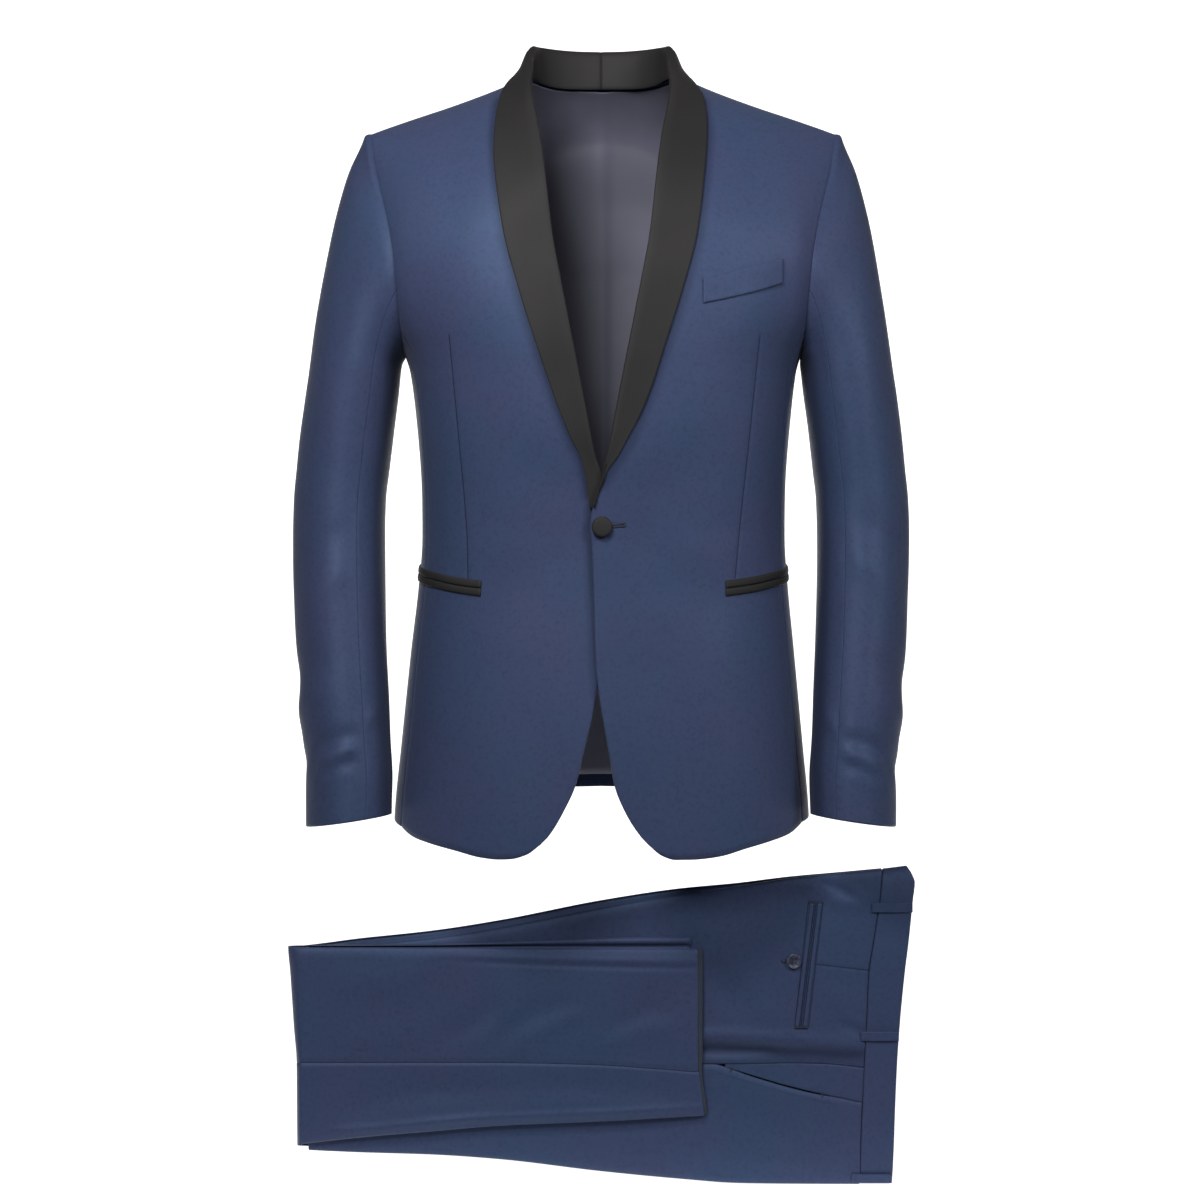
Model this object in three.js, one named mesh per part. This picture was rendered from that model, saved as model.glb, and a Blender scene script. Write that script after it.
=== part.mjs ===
import * as THREE from 'three';

// A shawl-collar dinner jacket, filled out as when it is worn, and its matching trousers, folded flat.
// Millimetres. +X is the wearer's left, -Y the front, +Z up.
// The origin is at the base of the neck, midway between the shoulders.
// Widths are given from the centre line outwards, and side is 1 for the wearer's left, -1 for the right.

// Cloth
const WOOL = 1.6;
const SATIN = 1.5;
const LINING = 1;
const SEAM = 0.3;
const LAY = 0.4;
const JET_LAY = 0.9;
const SHAWL_LAY = 0.95;
const LINING_GAP = 0.9;
const LINING_GAP_YOKE = 2.2;
const ROLL_TUCK = 2.2;

// Jacket form
const RIDGE = 4;
const ROUND = 2.4;
const SHOULDER_ROUND = 1.75;
const FRONT_FALL = 150;
const BACK_FALL = 80;
const FRONT_SEAM = 0.955;
const BACK_SEAM = 0.93;
const SHOULDER_Z = -34;
const ARMPIT_Z = -256;
const SIDE_SEAM_TOP = -210;
const NECK_HALF = 70;
const BREAK_Z = -382;
const CORNER_Z = -737;
const FRONT_SEAM_HEM_Z = -718;
const BACK_SEAM_HEM_Z = -708;

// Sleeves
const CAP_SHARE = 0.3;
const CAP_END_Z = -270;
const CUFF_Z = -716;
const CUFF_TILT = 6;
const SLEEVE_FRONT_SEAM = 118;
const SLEEVE_BACK_SEAM = -130;

// Overlap of the fronts, and the front button
const OVERLAP_RISE = 4.4;
const BUTTON_X = 1;
const BUTTON_Z = -429.5;
const BUTTON_RADIUS = 10.3;
const BUTTON_HEIGHT = 5.2;
const BUTTON_SHANK = 1.1;

// Pockets of the jacket
const JET_WIDTH = 6.2;
const JET_SLIT = 1.4;
const JET_FRONT_ANGLE = -54;
const JET_BACK_ANGLE = 11;

// Folded trousers: depth of each layer's outer face
const LEFT_LEG_BACK_Y = 9;
const LEFT_LEG_FRONT_Y = -17;
const RIGHT_LEG_Y = -6;
const HIP_RISE = 1.6;
const CREASE_ROUND = 12;
const CREASE_DEPTH = 3.4;
const WAISTBAND = 2.2;
const WAIST_GAP = 1;
const LOOP_WIDTH = 9;
const HEM_Z = -1083.4;
const KNEE_X = -298;
const RIGHT_LEG_X = -292;
const BLOCK_X = -290;
const TRIM_CLOTH = 1.2;

// Half width, depth in front and behind, and sideways lean of the body at each height
const torsoTable = [
  { z: 80, half: 245, front: 84, back: 112, centre: 2 },
  { z: -34, half: 245, front: 98, back: 112, centre: 2 },
  { z: -100, half: 240, front: 110, back: 118, centre: 2 },
  { z: -160, half: 236, front: 120, back: 119, centre: 2 },
  { z: -203, half: 224, front: 126, back: 116, centre: 2 },
  { z: -230, half: 212, front: 128, back: 113.5, centre: 2 },
  { z: -256, half: 198, front: 129, back: 111, centre: 2 },
  { z: -275, half: 192.5, front: 128.5, back: 109, centre: 2.2 },
  { z: -325, half: 187.5, front: 126, back: 102.5, centre: 2.5 },
  { z: -400, half: 182.8, front: 117, back: 93, centre: 2.5 },
  { z: -440, half: 182.2, front: 113.5, back: 90, centre: 2.5 },
  { z: -489, half: 185, front: 112.5, back: 94, centre: 2.2 },
  { z: -553, half: 191.5, front: 114.5, back: 103, centre: 1.5 },
  { z: -650, half: 201, front: 116.5, back: 113, centre: 1 },
  { z: -700, half: 206, front: 116, back: 114, centre: 0.8 },
  { z: -770, half: 210, front: 114, back: 114, centre: 0.5 },
];

// Height of the shoulder ridge at each distance from the centre
const shoulderTable = [
  { reach: 0, z: 48 },
  { reach: 30, z: 44 },
  { reach: 50, z: 36.5 },
  { reach: 67, z: 28.5 },
  { reach: 87, z: 19 },
  { reach: 105, z: 11 },
  { reach: 149, z: -5.5 },
  { reach: 197, z: -21.5 },
  { reach: 232.5, z: -34 },
  { reach: 262, z: -46 },
];

// Distance of the armhole seam from the centre at each height
const armholeTable = [
  { z: -34, reach: 232.5 },
  { z: -70, reach: 226.7 },
  { z: -93, reach: 221 },
  { z: -127, reach: 212.6 },
  { z: -162, reach: 206 },
  { z: -208, reach: 201.4 },
  { z: -234, reach: 199.5 },
  { z: -256, reach: 198 },
];

// Front edge below the lapels, for the front that lies over and the one that runs under
const frontEdgeTable = [
  { z: -382, over: 1.5, under: 1.5 },
  { z: -403, over: -5.8, under: -7 },
  { z: -428, over: -10.2, under: -12 },
  { z: -447, over: -8.7, under: -11 },
  { z: -500, over: -6.8, under: -8 },
  { z: -560, over: -5, under: -2 },
  { z: -592, over: -1.8, under: 5.2 },
  { z: -620, over: 2.8, under: 10.1 },
  { z: -650, over: 8.2, under: 17.6 },
  { z: -680, over: 13.3, under: 25 },
  { z: -704, over: 22.8, under: 36 },
  { z: -728, over: 37.7, under: 50.3 },
  { z: -737, over: 46, under: 59 },
];

// Hem of the fronts, from the rounded corner to the side seam
const frontHemTable = [
  { reach: 46, over: -737, under: -727 },
  { reach: 59, over: -747.5, under: -737 },
  { reach: 72, over: -751.5, under: -746.5 },
  { reach: 88, over: -751.5, under: -751 },
  { reach: 100, over: -750.8, under: -751.5 },
  { reach: 117, over: -748.6, under: -749.9 },
  { reach: 141, over: -742, under: -744.2 },
  { reach: 168, over: -735, under: -737.8 },
  { reach: 185, over: -729.5, under: -732.5 },
  { reach: 197, over: -721, under: -724 },
  { reach: 203, over: -714, under: -716 },
];

// Hem and neckline of the back
const backHemTable = [
  { reach: 0, z: -692 },
  { reach: 60, z: -693.5 },
  { reach: 120, z: -699 },
  { reach: 170, z: -705 },
  { reach: 200, z: -709 },
];
const backNeckTable = [
  { reach: 0, z: 24 },
  { reach: 25, z: 23.5 },
  { reach: 45, z: 23 },
  { reach: 60, z: 24 },
  { reach: 72, z: 26.1 },
  { reach: 75, z: 60 },
];

// Shawl lapel on the chest: roll line and outer edge, and how far the roll stands off the front
const lapelTable = [
  { z: -412, roll: 5.5, over: 10.7, under: 10.7, rise: 2.2 },
  { z: -397, roll: 3.4, over: 12.5, under: 12.5, rise: 2.2 },
  { z: -382, roll: 1, over: 3.5, under: 14.8, rise: 2.4 },
  { z: -364, roll: 4.5, over: 14.5, under: 18.8, rise: 3 },
  { z: -348, roll: 8, over: 23.3, under: 27, rise: 3.6 },
  { z: -309, roll: 15.3, over: 43, under: 43, rise: 4.2 },
  { z: -257, roll: 25.5, over: 60.2, under: 61, rise: 4.6 },
  { z: -198, roll: 37, over: 79, under: 79.8, rise: 4.6 },
  { z: -147, roll: 46.5, over: 92.3, under: 93.5, rise: 4.6 },
  { z: -112, roll: 50.7, over: 97.2, under: 99.3, rise: 4.6 },
  { z: -88, roll: 53.2, over: 99.6, under: 102.4, rise: 5 },
  { z: -59, roll: 56.6, over: 102.4, under: 104.7, rise: 5.6 },
  { z: -32, roll: 61, over: 103.5, under: 103.5, rise: 6.4 },
  { z: -8, roll: 65.4, over: 101.5, under: 100.5, rise: 7.4 },
  { z: 30, roll: 69.5, over: 90, under: 90, rise: 8 },
];

// Collar round the neck: foot of the stand, fold and outer edge, from the shoulder to the centre back
const collarTable = [
  { foot: [68, -18, 17], fold: [67.5, -27, 24], edge: [95.5, -18.5, 12.5], loop: 3 },
  { foot: [68.5, 3, 22], fold: [69, 3, 43], edge: [90, 4, 21.5], loop: 3.6 },
  { foot: [63.6, 23, 23], fold: [68.5, 27, 57.5], edge: [87.5, 29, 17.5], loop: 4 },
  { foot: [54, 42, 21], fold: [61, 50, 60.5], edge: [80, 57, 11.5], loop: 4.2 },
  { foot: [40, 55.5, 20], fold: [45, 64.5, 60.5], edge: [62, 76, 10.5], loop: 4.4 },
  { foot: [21, 64.5, 20.5], fold: [23.5, 72.5, 60], edge: [33, 88, 13], loop: 4.6 },
  { foot: [0, 68, 21], fold: [0, 75.5, 60], edge: [0, 91.5, 15], loop: 4.6 },
];

// Sleeve: centre line, half width and half depth at each height below the armhole
const sleeveTable = [
  { z: -270, centre: 245.3, centreY: 0, half: 45.9, depth: 66 },
  { z: -300, centre: 249.2, centreY: -1, half: 46.6, depth: 63.5 },
  { z: -332, centre: 253.4, centreY: -2, half: 46.6, depth: 61 },
  { z: -370, centre: 257.4, centreY: -4, half: 46.2, depth: 58.5 },
  { z: -400, centre: 260.3, centreY: -7, half: 45.8, depth: 56.5 },
  { z: -430, centre: 261, centreY: -11, half: 45.8, depth: 55 },
  { z: -460, centre: 260.7, centreY: -16, half: 45.7, depth: 53.5 },
  { z: -500, centre: 259.4, centreY: -23, half: 45.2, depth: 52 },
  { z: -540, centre: 257.6, centreY: -30, half: 44.8, depth: 50.5 },
  { z: -596, centre: 253.6, centreY: -40, half: 44, depth: 49 },
  { z: -640, centre: 250.6, centreY: -47, half: 43, depth: 48 },
  { z: -683, centre: 247.8, centreY: -53, half: 42.8, depth: 47 },
  { z: -722, centre: 248, centreY: -57, half: 42, depth: 46.5 },
];

// Hip pocket: height of its mouth at each distance from the centre, and breast pocket corners
const hipPocketTable = [
  { angle: -54, z: -488.8 },
  { angle: -44, z: -486 },
  { angle: -28, z: -480.3 },
  { angle: 0, z: -472 },
  { angle: 11, z: -468 },
];
const breastPocketTable = [
  { x: 98.5, top: -190, bottom: -213.5 },
  { x: 122, top: -183.2, bottom: -208.2 },
  { x: 146, top: -176.4, bottom: -201.8 },
  { x: 176.3, top: -167.6, bottom: -191.6 },
];

// Folded trousers, seen from the wearer's right: pressed creases of both legs along their length
const trouserTable = [
  { x: -312, leftTop: -845, rightTop: -849, bottom: -1049 },
  { x: -244, leftTop: -838.4, rightTop: -844.5, bottom: -1052 },
  { x: -168, leftTop: -830.4, rightTop: -837.5, bottom: -1054.4 },
  { x: -101, leftTop: -820, rightTop: -827, bottom: -1059 },
  { x: 1, leftTop: -800, rightTop: -807, bottom: -1071 },
  { x: 79, leftTop: -788.3, rightTop: -793.5, bottom: -1078.5 },
  { x: 135, leftTop: -783, rightTop: -785.5, bottom: -1082.5 },
  { x: 190, leftTop: -776.3, rightTop: -777, bottom: -1083.2 },
  { x: 250, leftTop: -771, rightTop: -771.3, bottom: -1083.4 },
  { x: 314, leftTop: -765, rightTop: -765, bottom: -1083.4 },
];

// Creases of the top layer, and the upper edge of the layer just inside it
const topLayerTable = [
  { x: -312, legTop: -845.5, legBottom: -1044, insideTop: -845.5 },
  { x: -244, legTop: -845.5, legBottom: -1036, insideTop: -844.5 },
  { x: -168, legTop: -845.8, legBottom: -1029.5, insideTop: -843 },
  { x: -101, legTop: -846, legBottom: -1024, insideTop: -841 },
  { x: 1, legTop: -846.6, legBottom: -1019.6, insideTop: -839 },
  { x: 79, legTop: -846.8, legBottom: -1015.5, insideTop: -837 },
  { x: 135, legTop: -847, legBottom: -1013, insideTop: -836 },
  { x: 190, legTop: -847, legBottom: -1012, insideTop: -836 },
  { x: 250, legTop: -847, legBottom: -1012, insideTop: -836 },
  { x: 314, legTop: -847, legBottom: -1012, insideTop: -836 },
];

// Side seam on the top layer and on the hip, the pocket mouth, and the two ends of the trousers
const trouserSeamTable = [
  { x: -312, leg: -960.5, hip: -963 },
  { x: -121, leg: -960.4, hip: -963 },
  { x: -14, leg: -962.3, hip: -963 },
  { x: 60, leg: -967, hip: -963 },
  { x: 99, leg: -970, hip: -963.4 },
  { x: 143, leg: -970, hip: -963 },
  { x: 191, leg: -970, hip: -962 },
  { x: 222, leg: -970, hip: -962.7 },
  { x: 266, leg: -970, hip: -967 },
];
const pocketMouthTable = [
  { x: 115, z: -963.8 },
  { x: 141, z: -971.5 },
  { x: 181, z: -983.4 },
  { x: 222, z: -993.5 },
  { x: 266, z: -1003 },
];
const trouserEndTable = [
  { z: -765, waist: 282, top: 305.5, fold: -312.6 },
  { z: -774, waist: 281, top: 310.5, fold: -312.6 },
  { z: -782, waist: 280.4, top: 313, fold: -312.6 },
  { z: -798, waist: 279, top: 311.2, fold: -312.6 },
  { z: -845, waist: 272, top: 306.3, fold: -312.6 },
  { z: -871, waist: 268, top: 303, fold: -310.5 },
  { z: -928, waist: 265.4, top: 297.5, fold: -306.6 },
  { z: -961, waist: 263.5, top: 295.3, fold: -304 },
  { z: -1002, waist: 261.5, top: 293.5, fold: -303.7 },
  { z: -1044, waist: 259.8, top: 292, fold: -303.4 },
  { z: -1084, waist: 259, top: 290.3, fold: -303 },
];

const vec = (x, y, z) => new THREE.Vector3(x, y, z);
const { lerp, smoothstep, degToRad } = THREE.MathUtils;

// A smooth line through one column of a table, with no overshoot between its rows
function line(table, key, name) {
  const rows = [...table].sort((a, b) => a[key] - b[key]);
  const at = rows.map((row) => row[key]);
  const value = rows.map((row) => row[name]);
  const slope = at.slice(1).map((next, i) => (value[i + 1] - value[i]) / (next - at[i]));
  const last = at.length - 1;
  const tangent = at.map((_, i) => {
    if (i === 0) return slope[0];
    if (i === last) return slope[last - 1];
    const before = slope[i - 1];
    const after = slope[i];
    return before * after <= 0 ? 0 : (2 * before * after) / (before + after);
  });
  return (place) => {
    if (place <= at[0]) return value[0];
    if (place >= at[last]) return value[last];
    const i = at.findIndex((next) => next > place) - 1;
    const width = at[i + 1] - at[i];
    const t = (place - at[i]) / width;
    const rise = value[i + 1] - value[i];
    const bend = tangent[i] * width * (1 - t) - tangent[i + 1] * width * t;
    return value[i] + rise * t * t * (3 - 2 * t) + t * (1 - t) * bend;
  };
}

// Every column of a table as such a line
function lines(table, key) {
  const names = Object.keys(table[0]).filter((name) => name !== key);
  return Object.fromEntries(names.map((name) => [name, line(table, key, name)]));
}

const torso = lines(torsoTable, 'z');
const shoulder = line(shoulderTable, 'reach', 'z');
const armhole = line(armholeTable, 'z', 'reach');
const frontEdge = lines(frontEdgeTable, 'z');
const frontHem = lines(frontHemTable, 'reach');
const backHem = line(backHemTable, 'reach', 'z');
const backNeck = line(backNeckTable, 'reach', 'z');
const lapel = lines(lapelTable, 'z');
const sleeve = lines(sleeveTable, 'z');
const hipPocket = line(hipPocketTable, 'angle', 'z');
const breastPocket = lines(breastPocketTable, 'x');
const trouser = lines(trouserTable, 'x');
const topLayer = lines(topLayerTable, 'x');
const trouserSeam = lines(trouserSeamTable, 'x');
const pocketMouth = line(pocketMouthTable, 'x', 'z');
const trouserEnd = lines(trouserEndTable, 'z');

// Whole numbers of steps from 0 to 1, and the same shifted towards one end
const steps = (count) => Array.from({ length: count + 1 }, (_, i) => i / count);
const bunched = (count, power) => steps(count).map((t) => 1 - (1 - t) ** power);

// Direction square to a grid of points at one of its points
function squareTo(grid, j, i, ring) {
  const rows = grid.length;
  const columns = grid[0].length;
  const left = ring ? (i + columns - 1) % columns : Math.max(i - 1, 0);
  const right = ring ? (i + 1) % columns : Math.min(i + 1, columns - 1);
  const across = grid[j][right].clone().sub(grid[j][left]);
  const along = grid[Math.min(j + 1, rows - 1)][i].clone().sub(grid[Math.max(j - 1, 0)][i]);
  return across.cross(along).normalize();
}

// A closed wall over a grid of rows of points. Its outer face lies `rise` off the grid on the side that
// `towards` points to at the middle of the grid, thick(j, i) is the wall there, and trim(point) keeps
// the wall on its own side of a seam.
function wall(grid, { rise = 0, thick = WOOL, towards, ring = false, trim }) {
  const rows = grid.length;
  const columns = grid[0].length;
  const outAt = (j, i) => (grid[j][i].out ? grid[j][i].out.clone() : squareTo(grid, j, i, ring));
  const middle = [Math.floor(rows / 2), Math.floor(columns / 2)];
  const turn = outAt(...middle).dot(towards) < 0 ? -1 : 1;
  const winding = squareTo(grid, ...middle, ring).dot(towards) < 0 ? -1 : 1;
  const thickAt = typeof thick === 'function' ? thick : () => thick;
  const riseAt = typeof rise === 'function' ? rise : () => rise;
  const position = [];
  for (const face of [0, 1]) {
    for (let j = 0; j < rows; j += 1) {
      for (let i = 0; i < columns; i += 1) {
        const out = outAt(j, i).multiplyScalar(turn);
        const point = grid[j][i].clone().addScaledVector(out, riseAt(j, i) - face * thickAt(j, i));
        if (trim) trim(point);
        position.push(point.x, point.y, point.z);
      }
    }
  }
  const index = [];
  const outer = (j, i) => j * columns + (i % columns);
  const inner = (j, i) => rows * columns + outer(j, i);
  const triangle = (a, b, c) => index.push(...(winding > 0 ? [a, b, c] : [a, c, b]));
  const quad = (a, b, c, d) => {
    triangle(a, b, c);
    triangle(a, c, d);
  };
  const width = ring ? columns : columns - 1;
  for (let j = 0; j < rows - 1; j += 1) {
    for (let i = 0; i < width; i += 1) {
      quad(outer(j, i), outer(j, i + 1), outer(j + 1, i + 1), outer(j + 1, i));
      quad(inner(j, i), inner(j + 1, i), inner(j + 1, i + 1), inner(j, i + 1));
    }
    if (!ring) {
      quad(outer(j, 0), outer(j + 1, 0), inner(j + 1, 0), inner(j, 0));
      quad(outer(j + 1, width), outer(j, width), inner(j, width), inner(j + 1, width));
    }
  }
  for (let i = 0; i < width; i += 1) {
    quad(outer(0, i + 1), outer(0, i), inner(0, i), inner(0, i + 1));
    quad(outer(rows - 1, i), outer(rows - 1, i + 1), inner(rows - 1, i + 1), inner(rows - 1, i));
  }
  const geometry = new THREE.BufferGeometry();
  geometry.setAttribute('position', new THREE.Float32BufferAttribute(position, 3));
  geometry.setIndex(index);
  return geometry;
}

// Rows of points from a function of two shares, one along and one across, each with its direction out
function gridOf(along, across, place) {
  const nudge = 0.001;
  const above = (share) => Math.min(share + nudge, 1);
  const below = (share) => Math.max(share - nudge, 0);
  return along.map((v) => across.map((u) => {
    const point = place(u, v);
    const acrossStep = place(above(u), v).sub(place(below(u), v));
    const alongStep = place(u, above(v)).sub(place(u, below(v)));
    point.out = acrossStep.cross(alongStep).normalize();
    return point;
  }));
}

// A block between a front and a back face, over a grid of places seen from the front
function block(grid, frontY, backY) {
  const facing = grid.map((row) => row.map(({ x, z }) => {
    const point = vec(x, 0, z);
    point.out = vec(0, -1, 0);
    return point;
  }));
  const rise = (j, i) => -frontY(j, i);
  const thick = (j, i) => backY(j, i) - frontY(j, i);
  return wall(facing, { rise, thick, towards: vec(0, -1, 0) });
}

// A flat patch filled in from its four edges, each a function from a share to a place
function fill({ inner, outer, bottom, top }) {
  return (u, v) => {
    const corner = (edge, end) => edge(end).clone();
    const sides = inner(v).clone().multiplyScalar(1 - u).addScaledVector(outer(v), u);
    const ends = bottom(u).clone().multiplyScalar(1 - v).addScaledVector(top(u), v);
    const corners = corner(inner, 0).multiplyScalar((1 - u) * (1 - v));
    corners.addScaledVector(corner(outer, 0), u * (1 - v));
    corners.addScaledVector(corner(inner, 1), (1 - u) * v);
    corners.addScaledVector(corner(outer, 1), u * v);
    return sides.add(ends).sub(corners);
  };
}

const group = new THREE.Group();
const cloth = (color, roughness) => new THREE.MeshStandardMaterial({ color, roughness, metalness: 0 });
const navyWool = () => cloth(0x3c4666, 0.75);
const trouserWool = () => cloth(0x303854, 0.72);
const blackSatin = () => cloth(0x1e1d1e, 0.38);
const greyLining = () => cloth(0x2d2d32, 0.5);
const buttonBlack = () => cloth(0x24242c, 0.35);

function piece(name, geometry, material) {
  const mesh = new THREE.Mesh(geometry, material);
  mesh.name = name;
  group.add(mesh);
}

const wearer = (side) => (side > 0 ? 'left' : 'right');
const layer = (side) => (side > 0 ? 'over' : 'under');

// The jacket's outer form: a rounded body that turns over into the shoulder ridge at the top
const roundOver = (share) => {
  const t = THREE.MathUtils.clamp(share, 0, 1);
  return (1 - (1 - t) ** SHOULDER_ROUND) ** (1 / SHOULDER_ROUND);
};
const reachOf = (side, width, z) => Math.abs(width - side * torso.centre(z));

function skinDepth(face, side, width, z) {
  const reach = reachOf(side, width, z);
  const ratio = Math.min(reach / torso.half(z), 1);
  const bulge = (1 - ratio ** ROUND) ** (1 / ROUND);
  if (face === 'front') {
    const over = roundOver((shoulder(reach) - z) / FRONT_FALL);
    return RIDGE - SEAM / 2 - (torso.front(z) + RIDGE) * bulge * over;
  }
  const over = roundOver((shoulder(reach) - z) / BACK_FALL);
  return RIDGE + SEAM / 2 + (torso.back(z) - RIDGE) * bulge * over;
}

// How far the left front stands off to lie over the right one
function overlap(side, width, z) {
  if (side < 0) return 0;
  const inward = 1 - smoothstep(width, 14, 58);
  const above = smoothstep(-z, 300, 378);
  const below = 1 - 0.45 * smoothstep(-z, 440, 590) - 0.55 * smoothstep(-z, 590, 700);
  return OVERLAP_RISE * inward * above * below;
}

const frontSkin = (side, width, z) =>
  vec(side * width, skinDepth('front', side, width, z) - overlap(side, width, z), z);
const backSkin = (side, width, z) => vec(side * width, skinDepth('back', side, width, z), z);

// Direction out of the front at a place
function frontOut(side, width, z) {
  const nudge = 0.2;
  const acrossStep = frontSkin(side, width + nudge, z).sub(frontSkin(side, width - nudge, z));
  const alongStep = frontSkin(side, width, z).sub(frontSkin(side, width, z - nudge));
  return acrossStep.cross(alongStep).multiplyScalar(side).normalize();
}

// Body below the arms as a ring: angle 0 at the side, -90 at the centre front, 90 at the centre back
function ringSkin(side, angle, z) {
  const turn = degToRad(angle);
  const ratio = Math.cos(turn) ** (2 / ROUND);
  const bulge = Math.abs(Math.sin(turn)) ** (2 / ROUND);
  const depth = angle < 0 ? -(torso.front(z) + RIDGE) : torso.back(z) - RIDGE;
  return vec(side * (torso.half(z) * ratio) + torso.centre(z), RIDGE + depth * bulge, z);
}
const ringAngle = (ratio) => THREE.MathUtils.radToDeg(Math.acos(ratio ** (ROUND / 2)));

// Outer edge of a front or back: the armhole, then the side seam below it
function panelEdge(side, share, z) {
  const seam = z > SIDE_SEAM_TOP ? Infinity : share * torso.half(z);
  return side * torso.centre(z) + Math.min(armhole(Math.max(z, ARMPIT_Z)), seam);
}

// Rows of a panel by their drop below its top edge, close together where the shoulder turns over
const DROPS = [
  0, 1.2, 5, 12, 22, 36, 54, 76, 102, 132, 165, 200, 236,
  275, 318, 362, 410, 458, 508, 560, 612, 664, 704, 731, 745,
];
const panelRows = DROPS.map((drop) => 1 - drop / DROPS.at(-1)).reverse();

// Lower ends of the side seams
function frontCorner(side) {
  const width = panelEdge(side, FRONT_SEAM, FRONT_SEAM_HEM_Z);
  return { width, z: frontHem[layer(side)](width) };
}
const backCorner = (side) => ({
  width: panelEdge(side, BACK_SEAM, BACK_SEAM_HEM_Z),
  z: backHem(BACK_SEAM * torso.half(BACK_SEAM_HEM_Z)),
});

// Fronts: from the front edge and roll line to the armhole and side seam
function front(side) {
  const name = layer(side);
  const rollEdge = (z) => lapel.roll(z) + ROLL_TUCK;
  const innerWidth = (z) => (z > BREAK_Z ? rollEdge(z) : frontEdge[name](z));
  const corner = vec(frontEdge[name](CORNER_Z), 0, CORNER_Z);
  const neckZ = shoulder(NECK_HALF - side * torso.centre(0));
  const { width: hemWidth, z: hemZ } = frontCorner(side);
  const shoulderWidth = panelEdge(side, FRONT_SEAM, SHOULDER_Z);
  const patch = fill({
    inner: (v) => {
      const z = lerp(corner.z, neckZ, v);
      return vec(innerWidth(z), 0, z);
    },
    outer: (v) => {
      const z = lerp(hemZ, SHOULDER_Z, v);
      return vec(panelEdge(side, FRONT_SEAM, z), 0, z);
    },
    bottom: (u) => {
      const width = lerp(corner.x, hemWidth, u);
      return vec(width, 0, frontHem[name](width));
    },
    top: (u) => {
      const width = lerp(rollEdge(neckZ), shoulderWidth, u);
      return vec(width, 0, shoulder(reachOf(side, width, SHOULDER_Z)));
    },
  });
  const across = bunched(10, 1.25);
  const grid = gridOf(panelRows, across, (u, v) => {
    const place = patch(u, v);
    return frontSkin(side, place.x, place.z);
  });
  const trim = (point) => {
    point.y = Math.min(point.y, RIDGE - SEAM / 2);
  };
  piece(`front_${wearer(side)}`, wall(grid, { towards: vec(side * 0.3, -1, 0), trim }), navyWool());
}

// Backs: from the centre back seam to the armhole and side seam
const BACK_COLUMNS = [0, 0.065, 0.13, 0.195, 0.25, 0.292, 0.326, 0.43, 0.57, 0.72, 0.87, 1];

function back(side) {
  const { width: hemWidth, z: hemZ } = backCorner(side);
  const topZ = (reach) => Math.min(backNeck(reach), shoulder(reach));
  const centreWidth = (z) => side * torso.centre(z) + SEAM / 2;
  const shoulderWidth = panelEdge(side, BACK_SEAM, SHOULDER_Z);
  const patch = fill({
    inner: (v) => {
      const z = lerp(backHem(0), topZ(0), v);
      return vec(centreWidth(z), 0, z);
    },
    outer: (v) => {
      const z = lerp(hemZ, SHOULDER_Z, v);
      return vec(panelEdge(side, BACK_SEAM, z), 0, z);
    },
    bottom: (u) => {
      const width = lerp(centreWidth(backHem(0)), hemWidth, u);
      return vec(width, 0, backHem(reachOf(side, width, hemZ)));
    },
    top: (u) => {
      const width = lerp(centreWidth(topZ(0)), shoulderWidth, u);
      return vec(width, 0, topZ(reachOf(side, width, SHOULDER_Z)));
    },
  });
  const grid = gridOf(panelRows, BACK_COLUMNS, (u, v) => {
    const place = patch(u, v);
    return backSkin(side, place.x, place.z);
  });
  const trim = (point) => {
    point.y = Math.max(point.y, RIDGE + SEAM / 2);
    const centre = torso.centre(point.z);
    point.x = centre + side * Math.max(side * (point.x - centre), SEAM / 2);
  };
  piece(`back_${wearer(side)}`, wall(grid, { towards: vec(side * 0.3, 1, 0), trim }), navyWool());
  return grid;
}

// Height at which the armhole crosses the body at a share of its half width
function armholeHeight(ratio) {
  let low = ARMPIT_Z;
  let high = -200;
  for (let i = 0; i < 30; i += 1) {
    const middle = (low + high) / 2;
    if (armhole(middle) / torso.half(middle) > ratio) low = middle;
    else high = middle;
  }
  return low;
}

// Side panels: under the arm, between the front and back side seams
function sidePanel(side) {
  const gap = 0.0016;
  const from = -ringAngle(FRONT_SEAM + gap);
  const to = ringAngle(BACK_SEAM + gap);
  const fromHem = frontCorner(side).z;
  const toHem = backCorner(side).z;
  const rows = panelRows.filter((v) => lerp(fromHem, SHOULDER_Z, v) < ARMPIT_Z - 10);
  const place = (u, v) => {
    const angle = lerp(from, to, u);
    const hem = lerp(fromHem, toHem, u);
    if (v <= rows.at(-1)) return ringSkin(side, angle, lerp(hem, SHOULDER_Z, v));
    const ratio = Math.cos(degToRad(angle)) ** (2 / ROUND);
    const start = lerp(hem, SHOULDER_Z, rows.at(-1));
    const share = (v - rows.at(-1)) / (1 - rows.at(-1));
    return ringSkin(side, angle, lerp(start, armholeHeight(ratio) - SEAM, share));
  };
  const grid = gridOf([...rows, 1], steps(10), place);
  piece(`side_panel_${wearer(side)}`, wall(grid, { towards: vec(side, 0, 0) }), navyWool());
}

// Two-piece sleeves. Angle 0 faces outwards, 90 forwards, and 180 is under the arm.
function armholePoint(side, angle) {
  const turn = degToRad(angle);
  const z = lerp(ARMPIT_Z, SHOULDER_Z, (1 + Math.cos(turn)) / 2);
  const width = side * torso.centre(z) + armhole(z);
  const face = Math.sin(turn) > 0 ? 'front' : 'back';
  return vec(width + 0.5, skinDepth(face, side, width, z), z);
}

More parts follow.
